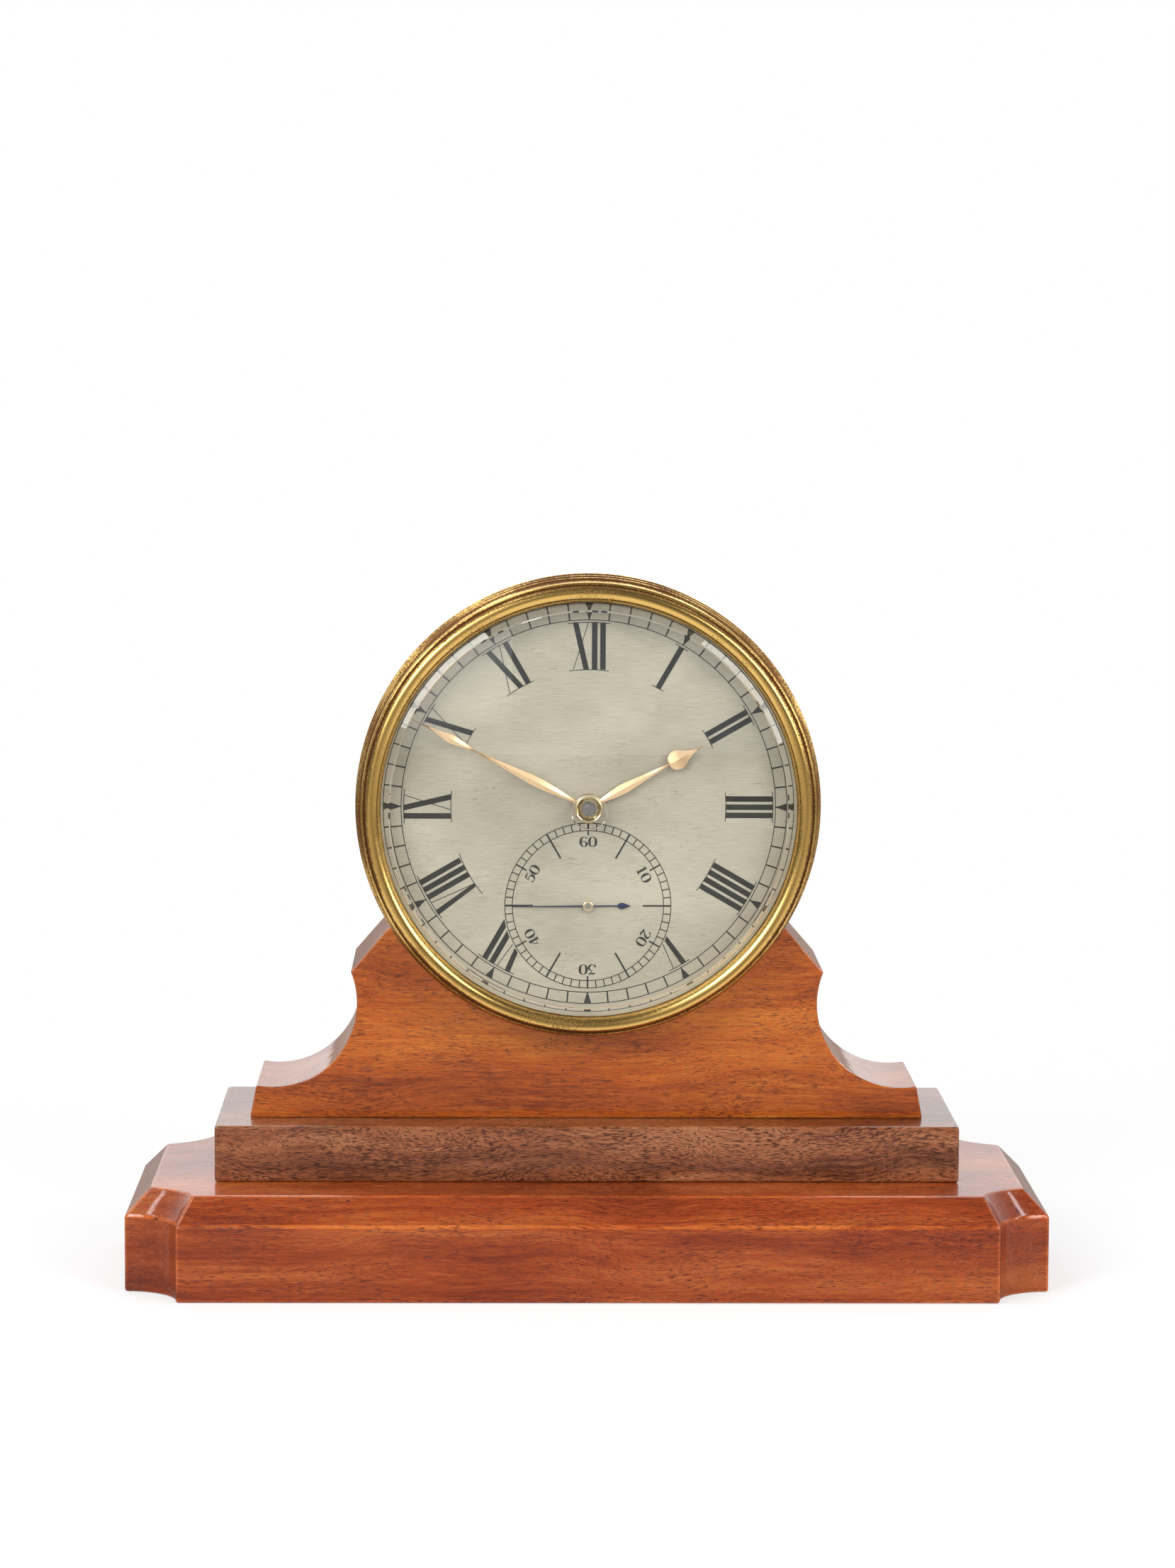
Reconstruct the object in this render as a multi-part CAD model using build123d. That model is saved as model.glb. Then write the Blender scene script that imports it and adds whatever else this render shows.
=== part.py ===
from build123d import *
import math
import os

# Marine chronometer movement in a brass drum, cradled on a three-tier mahogany stand.
# Millimetres. X is the width, Y the depth with the dial facing -Y, Z is up.
# The origin is the centre of the base's underside.
# The clock itself is drawn in its own frame: x to the right and y up as a person
# facing the dial sees them, z forward out of the dial, with z = 0 on the dial's face.

# Base block
BASE_WIDTH = 216.8
BASE_DEPTH = 88.0
BASE_HEIGHT = 24.2
BASE_CHAMFER_RISE = 6.2
BASE_CHAMFER_RUN = 6.0
BASE_HOLLOW_RADIUS = 12.8
BASE_HOLLOW_CHAMFER_RUN = 4.6

# Plinth
PLINTH_WIDTH = 175.8
PLINTH_DEPTH = 55.0
PLINTH_HEIGHT = 13.4
PLINTH_SETBACK = 22.0
PLINTH_CORNER_RADIUS = 1.3

# Bracket that cradles the drum
BRACKET_SETBACK = 11.2
BRACKET_DEPTH = 37.0
FOOT_HALF_WIDTH = 80.1
FOOT_TOP_INSET = 1.5
SCOOP_RADIUS = 20.2
SCOOP_CENTRE_INSET = 5.2
SCOOP_CENTRE_RISE = 27.6
SHOULDER_RISE = 35.2
FACET_ANGLE = 49.0
AXIS_RISE = 75.0
SADDLE_CLEARANCE = 0.05

# Stand screws, up through the base and plinth into the bracket
STAND_SCREW_SPACING = 90.0
STAND_SCREW_RADIUS = 2.0
STAND_SCREW_HEAD_RADIUS = 4.0
STAND_SCREW_HEAD_HEIGHT = 2.6
STAND_SCREW_RECESS = 1.0
STAND_SCREW_BITE = 12.0
SCREW_HOLE_CLEARANCE = 0.15

# Drum
DRUM_RADIUS = 51.3
DRUM_WALL = 1.4
DRUM_BACK_WALL = 2.0
DRUM_RIM_Z = 3.0
DRUM_REACH = 50.0
DRUM_BACK_ROUND = 3.0
LEDGE_WIDTH = 2.4
LEDGE_THICKNESS = 2.0
WINDING_HOLE_RADIUS = 4.5
DRUM_SCREW_RADIUS = 1.5
DRUM_SCREW_HEAD_RADIUS = 2.8
DRUM_SCREW_HEAD_HEIGHT = 0.8
DRUM_SCREW_BITE = 11.0
DRUM_SCREW_Z = (-14.0, -25.0)

# Bezel and glass
BEZEL_RADIUS = 55.0
BEZEL_OPENING_RADIUS = 48.9
BEZEL_BACK_Z = -2.6
BEZEL_CREST_Z = 9.6
BEZEL_LIP_Z = 8.1
BEZEL_STAND_OFF = 0.3
BEZEL_THREAD_CLEARANCE = 0.12
REED_STEP = 0.45
REED_HEIGHT = 2.1
REED_COUNT = 3
BEAD_RADIUS = 0.5
GLASS_SEAT_Z = 5.9
GLASS_EDGE_THICKNESS = 1.7
GLASS_THICKNESS = 1.8
GLASS_BEVEL_WIDTH = 3.2
GLASS_BEVEL_RISE = 2.3
GLASS_CROWN_Z = 12.2
GLASS_HOLE_RADIUS = 4.0
GLASS_DOME_STEPS = 6
GLASS_CLEARANCE = 0.05

# Dial
DIAL_THICKNESS = 1.0
DIAL_CLEARANCE = 0.4
DIAL_CENTRE_HOLE_RADIUS = 2.8
DIAL_SECONDS_HOLE_RADIUS = 1.0
DIAL_FOOT_RADIUS = 1.2
DIAL_FOOT_CIRCLE = 43.5
DIAL_FOOT_ANGLES = (30.0, 150.0, 270.0)
DIAL_PIN_RADIUS = 0.4
DIAL_PIN_LENGTH = 6.0

# Plates and pillars
MOTION_SPACE = 4.6
PLATE_THICKNESS = 2.4
PLATE_SPACING = 22.0
FRONT_PLATE_CLEARANCE = 0.3
BACK_PLATE_RADIUS = 46.5
PILLAR_RADIUS = 2.6
PILLAR_WAIST_RADIUS = 1.9
PILLAR_COLLAR = 3.0
PILLAR_CIRCLE = 42.5
PILLAR_ANGLES = (90.0, 190.0, 240.0, 300.0, 350.0)
PLATE_SCREW_RADIUS = 0.9
PLATE_SCREW_HEAD_RADIUS = 2.2
PLATE_SCREW_HEAD_HEIGHT = 1.0
PLATE_SCREW_BITE = 6.0

# Fits
RUNNING_CLEARANCE = 0.05
SEAT_CLEARANCE = 0.01
END_SHAKE = 0.1
PIVOT_RADIUS = 0.6

# Wheel train: teeth, then module
GREAT_TEETH = 90
CENTRE_PINION_TEETH = 14
GREAT_MODULE = 0.45
CENTRE_TEETH = 90
THIRD_PINION_TEETH = 12
CENTRE_MODULE = 0.30
THIRD_TEETH = 80
FOURTH_PINION_TEETH = 10
THIRD_MODULE = 0.28
FOURTH_TEETH = 80
ESCAPE_PINION_TEETH = 10
FOURTH_MODULE = 0.25
SECONDS_DROP = 23.5
ESCAPE_DIRECTION = 210.0
FUSEE_DIRECTION = 135.0
WHEEL_THICKNESS = 1.0
PINION_LENGTH = 2.4
ARBOR_RADIUS = 1.0
WHEEL_RIM = 2.0
WHEEL_SPOKES = 4

# Distances behind the front plate at which the wheels run
CENTRE_WHEEL_OFFSET = 0.6
GREAT_WHEEL_OFFSET = 2.8
THIRD_WHEEL_OFFSET = 6.2
FOURTH_WHEEL_OFFSET = 10.5
ESCAPE_WHEEL_OFFSET = 19.4

# Motion work behind the dial
CANNON_TEETH = 12
MINUTE_WHEEL_TEETH = 36
MINUTE_PINION_TEETH = 10
HOUR_WHEEL_TEETH = 40
MOTION_DISTANCE = 9.6
MOTION_DIRECTION = 315.0
CANNON_PIPE_RADIUS = 1.7
CENTRE_NOSE_RADIUS = 0.9
HOUR_PIPE_WALL = 0.7
HOUR_PIPE_TOP_Z = 2.3
SETTING_SQUARE = 2.4
SETTING_SQUARE_TURN = -17.0
SETTING_SQUARE_LENGTH = 1.3
MINUTE_STUD_RADIUS = 0.8

# Hands
MINUTE_HAND_LENGTH = 47.6
HOUR_HAND_LENGTH = 30.8
SECONDS_HAND_LENGTH = 17.8
SECONDS_TAIL_LENGTH = 10.1
MINUTE_HAND_ANGLE = 296.7
HOUR_HAND_ANGLE = 61.5
SECONDS_HAND_ANGLE = 269.5
HAND_THICKNESS = 0.6
SECONDS_HAND_Z = 0.6
SECONDS_HAND_THICKNESS = 0.3
SECONDS_BOSS_RADIUS = 1.35
SECONDS_BOSS_HEIGHT = 0.7
HOUR_HAND_Z = 1.5
MINUTE_HAND_Z = 3.0
HAND_BOSS_WALL = 0.9
HUB_RADIUS = 3.45
HUB_RECESS_RADIUS = 2.27
HUB_HEIGHT = 2.3
HUB_RECESS_DEPTH = 1.3

# Fusee, chain and barrel
FUSEE_LARGE_RADIUS = 14.0
FUSEE_SMALL_RADIUS = 8.2
FUSEE_GROOVES = 7
FUSEE_PITCH = 1.9
FUSEE_GROOVE_DEPTH = 0.5
FUSEE_RIM = 0.8
FUSEE_ARBOR_RADIUS = 1.6
WINDING_SQUARE = 2.4
WINDING_SQUARE_LENGTH = 11.4
BARREL_RADIUS = 16.5
BARREL_WALL = 1.0
BARREL_LENGTH = 14.8
BARREL_X = 19.5
BARREL_Y = 13.0
BARREL_ARBOR_RADIUS = 1.9
BARREL_HUB_RADIUS = 4.0
MAINSPRING_TURNS = 5
MAINSPRING_THICKNESS = 0.45
MAINSPRING_MARGIN = 0.4
CHAIN_PITCH = 2.6
CHAIN_WIDTH = 0.9
CHAIN_PLATE = 0.35
CHAIN_CLEARANCE = 0.35
CHAIN_FUSEE_WRAP = 230.0
CHAIN_BARREL_WRAP = 200.0
CHAIN_GROOVE = 3
RATCHET_TEETH = 24
RATCHET_RADIUS = 5.5
RATCHET_TOOTH_DEPTH = 0.7
RATCHET_THICKNESS = 1.2
CLICK_LENGTH = 9.0
CLICK_WIDTH = 2.2
CLICK_SCREW_RADIUS = 0.9

# Escapement and balance
ESCAPE_TEETH = 15
ESCAPE_RADIUS = 7.0
ESCAPE_THICKNESS = 0.8
BALANCE_DISTANCE = 10.45
BALANCE_DIRECTION = 100.0
IMPULSE_ROLLER_RADIUS = 3.25
DISCHARGE_ROLLER_RADIUS = 1.8
ROLLER_THICKNESS = 0.8
STAFF_RADIUS = 0.8
STAFF_PIVOT_RADIUS = 0.35
STAFF_HOLE_RADIUS = 4.2
BALANCE_RADIUS = 14.0
BALANCE_RIM = 1.6
BALANCE_HEIGHT = 2.2
BALANCE_OFFSET = 3.4
BALANCE_ARM_WIDTH = 2.0
BALANCE_ARM_THICKNESS = 1.2
BALANCE_CUT = 9.0
BALANCE_LAP = 2.0
WEIGHT_THICKNESS = 1.4
WEIGHT_HEIGHT = 3.6
WEIGHT_ANGLE = 24.0
WEIGHT_START = 100.0
SPRING_RADIUS = 4.0
SPRING_WIRE = 0.35
SPRING_TURNS = 5
SPRING_PITCH = 0.8
COCK_HEIGHT = 12.2
COCK_THICKNESS = 2.0
COCK_WIDTH = 7.0
COCK_FOOT_LENGTH = 7.0
COCK_CLEARANCE = 1.7
COCK_SCREW_HEAD_RADIUS = 2.2
POTENCE_THICKNESS = 1.4
POTENCE_WIDTH = 3.6
POTENCE_REACH = 7.0
LOCKING_ANGLE = 50.0
LOCKING_CLEARANCE = 0.2
DETENT_WIDTH = 0.7
DETENT_THICKNESS = 0.5
DETENT_TAIL = 6.0
DETENT_FOOT = 3.0

# Dust shutter over the winding hole
SHUTTER_OVERLAP = 2.0
SHUTTER_THICKNESS = 0.9
SHUTTER_ARM = 12.0
SHUTTER_DIRECTION = 315.0
SHUTTER_GAP = 0.1
SHUTTER_SCREW_RADIUS = 1.5
SHUTTER_SCREW_HEAD_RADIUS = 2.8
SHUTTER_SCREW_HEAD_HEIGHT = 1.2
SHUTTER_SPRING_HEIGHT = 0.6
SHUTTER_KNOB_RADIUS = 1.1
SHUTTER_KNOB_HEIGHT = 2.0

# Places worked out from the sizes above
BASE_FRONT_Y = -BASE_DEPTH / 2
PLINTH_FRONT_Y = BASE_FRONT_Y + PLINTH_SETBACK
BRACKET_FRONT_Y = PLINTH_FRONT_Y + BRACKET_SETBACK
PLINTH_BOTTOM = BASE_HEIGHT
BRACKET_BOTTOM = BASE_HEIGHT + PLINTH_HEIGHT
AXIS_Z = BRACKET_BOTTOM + AXIS_RISE
DIAL_Y = BRACKET_FRONT_Y + BEZEL_BACK_Z - BEZEL_STAND_OFF
STAND_SCREW_Y = BRACKET_FRONT_Y + BRACKET_DEPTH / 2
DRUM_INNER_RADIUS = DRUM_RADIUS - DRUM_WALL
DRUM_BACK_Z = -DRUM_REACH
FRONT_PLATE_FRONT = -DIAL_THICKNESS - MOTION_SPACE
FRONT_PLATE_BACK = FRONT_PLATE_FRONT - PLATE_THICKNESS
BACK_PLATE_FRONT = FRONT_PLATE_BACK - PLATE_SPACING
BACK_PLATE_BACK = BACK_PLATE_FRONT - PLATE_THICKNESS
FRONT_PLATE_RADIUS = DRUM_INNER_RADIUS - FRONT_PLATE_CLEARANCE
DIAL_RADIUS = DRUM_INNER_RADIUS - DIAL_CLEARANCE
CLOCK_FRAME = Plane(origin=(0, DIAL_Y, AXIS_Z), x_dir=(1, 0, 0), z_dir=(0, -1, 0)).location


def polar(radius, degrees, centre=(0.0, 0.0)):
    """A point at a radius and an angle from a centre."""
    turn = math.radians(degrees)
    return (centre[0] + radius * math.cos(turn), centre[1] + radius * math.sin(turn))


def bearing(start, end):
    """The direction from one point to another, in degrees."""
    return math.degrees(math.atan2(end[1] - start[1], end[0] - start[0]))


def mesh_distance(module, wheel, pinion):
    """The distance between the centres of a wheel and its pinion."""
    return module * (wheel + pinion) / 2


def meet(first, first_reach, second, second_reach):
    """The point at given distances from two points, to the right of the line between them."""
    gap = math.dist(first, second)
    along = (first_reach**2 - second_reach**2 + gap**2) / (2 * gap)
    aside = math.sqrt(first_reach**2 - along**2)
    foot = polar(along, bearing(first, second), first)
    return polar(aside, bearing(first, second) + 90, foot)


CENTRE = (0.0, 0.0)
SECONDS = (0.0, -SECONDS_DROP)
THIRD = meet(
    CENTRE,
    mesh_distance(CENTRE_MODULE, CENTRE_TEETH, THIRD_PINION_TEETH),
    SECONDS,
    mesh_distance(THIRD_MODULE, THIRD_TEETH, FOURTH_PINION_TEETH),
)
ESCAPE = polar(
    mesh_distance(FOURTH_MODULE, FOURTH_TEETH, ESCAPE_PINION_TEETH), ESCAPE_DIRECTION, SECONDS
)
FUSEE = polar(mesh_distance(GREAT_MODULE, GREAT_TEETH, CENTRE_PINION_TEETH), FUSEE_DIRECTION)
BARREL = (BARREL_X, BARREL_Y)
STAFF = polar(BALANCE_DISTANCE, BALANCE_DIRECTION, ESCAPE)
MINUTE_STUD = polar(MOTION_DISTANCE, MOTION_DIRECTION)

# Faces of the wheels, behind the front plate
CENTRE_WHEEL_Z = FRONT_PLATE_BACK - CENTRE_WHEEL_OFFSET
GREAT_WHEEL_Z = FRONT_PLATE_BACK - GREAT_WHEEL_OFFSET
THIRD_WHEEL_Z = FRONT_PLATE_BACK - THIRD_WHEEL_OFFSET
FOURTH_WHEEL_Z = FRONT_PLATE_BACK - FOURTH_WHEEL_OFFSET
ESCAPE_WHEEL_Z = FRONT_PLATE_BACK - ESCAPE_WHEEL_OFFSET
GREAT_WHEEL_THICKNESS = 1.6 * WHEEL_THICKNESS
CANNON_BACK_Z = FRONT_PLATE_FRONT + 2 * END_SHAKE
CANNON_LEAF_LENGTH = 1.4
MINUTE_WHEEL_BACK_Z = CANNON_BACK_Z + END_SHAKE
MINUTE_WHEEL_THICKNESS = 1.0
HOUR_WHEEL_BACK_Z = CANNON_BACK_Z + CANNON_LEAF_LENGTH + 0.7
HOUR_WHEEL_THICKNESS = 0.8
MINUTE_PINION_FRONT_Z = HOUR_WHEEL_BACK_Z + HOUR_WHEEL_THICKNESS + 0.4
HOUR_PIPE_BORE = CANNON_PIPE_RADIUS + RUNNING_CLEARANCE
HOUR_PIPE_RADIUS = HOUR_PIPE_BORE + HOUR_PIPE_WALL
HUB_BACK_Z = MINUTE_HAND_Z + HAND_THICKNESS
HUB_FRONT_Z = HUB_BACK_Z + HUB_HEIGHT
SQUARE_BACK_Z = HUB_FRONT_Z - HUB_RECESS_DEPTH - 0.1

# Tooth shapes, as shares of the module and of the tooth pitch
WHEEL_TOOTH = {"addendum": 0.9, "dedendum": 1.3, "tip": 0.10, "root": 0.42}
PINION_TOOTH = {"addendum": 0.6, "dedendum": 1.35, "tip": 0.12, "root": 0.36}


def disc(radius, z_from, z_to, at=CENTRE):
    """A round bar between two heights."""
    return Pos(at[0], at[1], (z_from + z_to) / 2) * Cylinder(radius, abs(z_to - z_from))


def washer(outer, inner, z_from, z_to, at=CENTRE):
    """A flat ring between two heights."""
    return disc(outer, z_from, z_to, at) - disc(inner, z_from - 1, z_to + 1, at)


def block(size_x, size_y, z_from, z_to, at=CENTRE, turn=0.0):
    """A bar of rectangular section between two heights, turned about its own centre."""
    middle = (z_from + z_to) / 2
    return Pos(at[0], at[1], middle) * Rot(0, 0, turn) * Box(size_x, size_y, abs(z_to - z_from))


def turned(points, at=CENTRE):
    """A solid of revolution from (radius, height) points."""
    outline = Polyline(*[(r, 0, z) for r, z in points], close=True)
    return Pos(at[0], at[1], 0) * revolve(make_face(outline), Axis.Z, 360)


def shaft(steps, at=CENTRE):
    """A stepped shaft from its back end: a start height, then (radius, end height) pairs."""
    start, rest = steps[0], steps[1:]
    points = [(0, start)]
    low = start
    for radius, high in rest:
        points += [(radius, low), (radius, high)]
        low = high
    points.append((0, low))
    return turned(points, at)


def prism(points, z_from, z_to):
    """A polygon's prism between two heights."""
    face = make_face(Polyline(*[(x, y, z_from) for x, y in points], close=True))
    return extrude(face, amount=z_to - z_from, dir=(0, 0, 1))


def gear_points(teeth, module, tooth, phase):
    """The outline of a toothed wheel with a tooth centred on the phase angle."""
    pitch = 360 / teeth
    radius = module * teeth / 2
    root = radius - tooth["dedendum"] * module
    tip = radius + tooth["addendum"] * module
    points = []
    for index in range(teeth):
        middle = phase + index * pitch
        points.append(polar(root, middle - tooth["root"] * pitch / 2))
        points.append(polar(tip, middle - tooth["tip"] * pitch / 2))
        points.append(polar(tip, middle + tooth["tip"] * pitch / 2))
        points.append(polar(root, middle + tooth["root"] * pitch / 2))
    return points


def wheel(teeth, module, phase, z_back, thickness, bore, at):
    """A crossed-out brass wheel: teeth, rim, spokes and hub."""
    rim_inner = module * teeth / 2 - 1.3 * module - WHEEL_RIM
    hub = bore + 1.6
    blank = prism(gear_points(teeth, module, WHEEL_TOOTH, phase), z_back, z_back + thickness)
    window = Circle(rim_inner) - Circle(hub)
    for spoke in range(WHEEL_SPOKES):
        bar = Pos(rim_inner / 2, 0) * Rectangle(rim_inner + 1, WHEEL_RIM * 0.8)
        window -= Rot(0, 0, spoke * 360 / WHEEL_SPOKES) * bar
    blank -= Pos(0, 0, z_back - 1) * extrude(window, thickness + 2)
    blank -= disc(bore, z_back - 1, z_back + thickness + 1)
    return Pos(at[0], at[1], 0) * blank


def pinion(teeth, module, phase, z_back, length, bore, at):
    """The leaves of a pinion, with a gap between two leaves on the phase angle."""
    turn = phase + 180 / teeth
    leaves = prism(gear_points(teeth, module, PINION_TOOTH, turn), z_back, z_back + length)
    if bore:
        leaves -= disc(bore, z_back - 1, z_back + length + 1)
    return Pos(at[0], at[1], 0) * leaves


def corner_plan(width, depth, hollow, inset, height):
    """The base's plan at one height: a rectangle with a hollow at each corner."""
    half_x, half_y = BASE_WIDTH / 2, BASE_DEPTH / 2
    plan = Rectangle(width, depth)
    for side_x in (-1, 1):
        for side_y in (-1, 1):
            plan -= Pos(side_x * half_x, side_y * half_y) * Circle(hollow + inset)
    return Pos(0, 0, height) * plan


def base_block():
    """The bottom tier, chamfered round the top, with a hollow at each corner."""
    shoulder = BASE_HEIGHT - BASE_CHAMFER_RISE
    lower = corner_plan(BASE_WIDTH, BASE_DEPTH, BASE_HOLLOW_RADIUS, 0, 0)
    ledge = corner_plan(BASE_WIDTH, BASE_DEPTH, BASE_HOLLOW_RADIUS, 0, shoulder)
    top = corner_plan(
        BASE_WIDTH - 2 * BASE_CHAMFER_RUN,
        BASE_DEPTH - 2 * BASE_CHAMFER_RUN,
        BASE_HOLLOW_RADIUS,
        BASE_HOLLOW_CHAMFER_RUN,
        BASE_HEIGHT,
    )
    solid = extrude(lower, shoulder) + loft([ledge.face(), top.face()], ruled=True)
    for hole in stand_screw_bodies(SCREW_HOLE_CLEARANCE, 0):
        solid -= hole
    return solid


def stand_screw_bodies(clearance, bottom):
    """The two stand screws, or their holes when a clearance is given."""
    radius = STAND_SCREW_RADIUS + clearance
    head = STAND_SCREW_HEAD_RADIUS + clearance
    seat = STAND_SCREW_RECESS + STAND_SCREW_HEAD_HEIGHT
    top = BRACKET_BOTTOM + STAND_SCREW_BITE + clearance
    outline = [(0, bottom), (head, bottom), (head, STAND_SCREW_RECESS), (radius, seat)]
    if not clearance:
        outline = [(0, bottom), (head, bottom), (radius, seat)]
    outline += [(radius, top - radius), (0, top)]
    places = (-STAND_SCREW_SPACING / 2, STAND_SCREW_SPACING / 2)
    return [Pos(0, STAND_SCREW_Y, 0) * turned(outline, (x, 0)) for x in places]


def stand_screws():
    """Two countersunk wood screws that hold the three tiers together."""
    return Compound(children=stand_screw_bodies(0, STAND_SCREW_RECESS))


def plinth():
    """The plain middle tier, its lower corners eased."""
    half = PLINTH_WIDTH / 2
    outline = Pos(0, PLINTH_HEIGHT / 2) * Rectangle(PLINTH_WIDTH, PLINTH_HEIGHT)
    low = outline.vertices().sort_by(Axis.Y)[:2]
    outline = fillet(low, PLINTH_CORNER_RADIUS)
    place = Plane(
        origin=(0, PLINTH_FRONT_Y + PLINTH_DEPTH, PLINTH_BOTTOM), x_dir=(1, 0, 0), z_dir=(0, -1, 0)
    )
    solid = extrude(place * outline, PLINTH_DEPTH)
    for hole in stand_screw_bodies(SCREW_HOLE_CLEARANCE, 0):
        solid -= hole
    return solid


def bracket_half_outline():
    """One half of the bracket's front, from the middle of its foot up to the drum."""
    centre_x = FOOT_HALF_WIDTH - SCOOP_CENTRE_INSET
    centre = (centre_x, SCOOP_CENTRE_RISE)
    foot_x = FOOT_HALF_WIDTH - FOOT_TOP_INSET
    low_turn = -math.degrees(math.acos((foot_x - centre_x) / SCOOP_RADIUS))
    high_turn = 180 - math.degrees(
        math.asin((SHOULDER_RISE - SCOOP_CENTRE_RISE) / SCOOP_RADIUS)
    )
    start = polar(SCOOP_RADIUS, low_turn, centre)
    inner = polar(SCOOP_RADIUS, (low_turn + high_turn - 360) / 2, centre)
    tip = polar(SCOOP_RADIUS, high_turn, centre)
    reach = tip[0] / math.cos(math.radians(FACET_ANGLE))
    crown = (0.0, tip[1] + reach * math.sin(math.radians(FACET_ANGLE)))
    lines = [
        Line((0, 0), (FOOT_HALF_WIDTH, 0)),
        Line((FOOT_HALF_WIDTH, 0), start),
        ThreePointArc(start, inner, tip),
        Line(tip, crown),
        Line(crown, (0, 0)),
    ]
    return make_face(lines)


def bracket():
    """The cradle: scooped sides, pointed shoulders and a round saddle for the drum."""
    half = bracket_half_outline()
    front = half + mirror(half, Plane.YZ)
    front -= Pos(0, AXIS_RISE) * Circle(DRUM_RADIUS + SADDLE_CLEARANCE)
    parts = front.faces().sort_by(SortBy.AREA)
    place = Plane(
        origin=(0, BRACKET_FRONT_Y + BRACKET_DEPTH, BRACKET_BOTTOM),
        x_dir=(1, 0, 0),
        z_dir=(0, -1, 0),
    )
    keep = [face for face in parts if face.bounding_box().min.Y < SHOULDER_RISE / 2]
    solid = extrude(place * keep[0], BRACKET_DEPTH)
    for hole in stand_screw_bodies(SCREW_HOLE_CLEARANCE, 0):
        solid -= hole
    for hole in drum_screw_bodies(SCREW_HOLE_CLEARANCE):
        solid -= CLOCK_FRAME * hole
    return solid


def drum_screw_bodies(clearance):
    """Two wood screws from inside the drum down into the bracket, in the clock's frame."""
    head_top = DRUM_SCREW_HEAD_HEIGHT
    radius = DRUM_SCREW_RADIUS + clearance
    head = DRUM_SCREW_HEAD_RADIUS + clearance
    end = -DRUM_WALL - DRUM_SCREW_BITE
    outline = [(0, end), (radius, end + radius), (radius, 0)]
    outline += [(head, 0), (head, head_top), (0, head_top)]
    body = turned(outline)
    flat = math.sqrt(DRUM_INNER_RADIUS**2 - DRUM_SCREW_HEAD_RADIUS**2)
    return [Pos(0, -flat, z) * Rot(-90, 0, 0) * body for z in DRUM_SCREW_Z]


def drum_screws():
    """The screws that hold the drum down on its saddle."""
    return Compound(children=drum_screw_bodies(0))


def drum():
    """The brass drum: a deep cup with a seat for the front plate and a winding hole."""
    inset = 0.3 * DRUM_BACK_ROUND
    outline = [(0, DRUM_BACK_Z), (DRUM_RADIUS - DRUM_BACK_ROUND, DRUM_BACK_Z)]
    outline.append((DRUM_RADIUS - inset, DRUM_BACK_Z + inset))
    outline.append((DRUM_RADIUS, DRUM_BACK_Z + DRUM_BACK_ROUND))
    outer = turned(outline + [(DRUM_RADIUS, DRUM_RIM_Z), (0, DRUM_RIM_Z)])
    ledge_z = FRONT_PLATE_BACK - END_SHAKE
    cup = disc(DRUM_INNER_RADIUS, DRUM_BACK_Z + DRUM_BACK_WALL, ledge_z - LEDGE_THICKNESS)
    mouth = disc(DRUM_INNER_RADIUS, ledge_z, DRUM_RIM_Z + 1)
    throat = disc(DRUM_INNER_RADIUS - LEDGE_WIDTH, ledge_z - LEDGE_THICKNESS - 1, ledge_z + 1)
    shell = outer - cup - mouth - throat
    shell -= disc(WINDING_HOLE_RADIUS, DRUM_BACK_Z - 1, DRUM_BACK_Z + DRUM_BACK_WALL + 1, FUSEE)
    pivot_hole = SHUTTER_SCREW_RADIUS + SEAT_CLEARANCE
    shell -= disc(pivot_hole, DRUM_BACK_Z - 1, DRUM_BACK_Z + DRUM_BACK_WALL + 1, shutter_pivot())
    for hole in drum_screw_bodies(SCREW_HOLE_CLEARANCE):
        shell -= hole
    return shell


def bezel_profile():
    """The bezel's section: reeds, groove, bead, inward band, lip, glass seat and thread."""
    points = [(DRUM_RADIUS + BEZEL_THREAD_CLEARANCE, BEZEL_BACK_Z)]
    radius, height = BEZEL_RADIUS, BEZEL_BACK_Z
    points.append((radius - REED_STEP, height))
    for _ in range(REED_COUNT):
        points.append((radius, height + 0.25 * REED_HEIGHT))
        points.append((radius, height + 0.75 * REED_HEIGHT))
        points.append((radius - REED_STEP, height + REED_HEIGHT))
        radius -= REED_STEP + BEAD_RADIUS / 5
        height += REED_HEIGHT
    crest = radius - REED_STEP - BEAD_RADIUS
    points.append((radius - 1.5 * REED_STEP, height + 0.5 * REED_HEIGHT))
    points.append((crest + BEAD_RADIUS, BEZEL_CREST_Z - 2 * BEAD_RADIUS))
    points.append((crest + 0.6 * BEAD_RADIUS, BEZEL_CREST_Z - 0.3 * BEAD_RADIUS))
    points.append((crest, BEZEL_CREST_Z))
    third = (crest - BEZEL_OPENING_RADIUS) / 3
    drop = BEZEL_CREST_Z - BEZEL_LIP_Z
    points.append((crest - third, BEZEL_CREST_Z - 0.15 * drop))
    points.append((crest - 2 * third, BEZEL_CREST_Z - 0.45 * drop))
    points.append((BEZEL_OPENING_RADIUS, BEZEL_LIP_Z))
    seat = GLASS_SEAT_Z + GLASS_EDGE_THICKNESS + GLASS_CLEARANCE
    points.append((BEZEL_OPENING_RADIUS, seat))
    points.append((DRUM_INNER_RADIUS + GLASS_CLEARANCE, seat))
    points.append((DRUM_INNER_RADIUS + GLASS_CLEARANCE, DRUM_RIM_Z + END_SHAKE))
    points.append((DRUM_RADIUS + BEZEL_THREAD_CLEARANCE, DRUM_RIM_Z + END_SHAKE))
    return points


def bezel():
    """The moulded brass bezel that screws on over the drum's rim."""
    return turned(bezel_profile())


def dome_height(radius, crown, rim_radius, rim_height):
    """The height of a shallow dome at a radius."""
    return crown - (crown - rim_height) * (radius / rim_radius) ** 2


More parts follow.
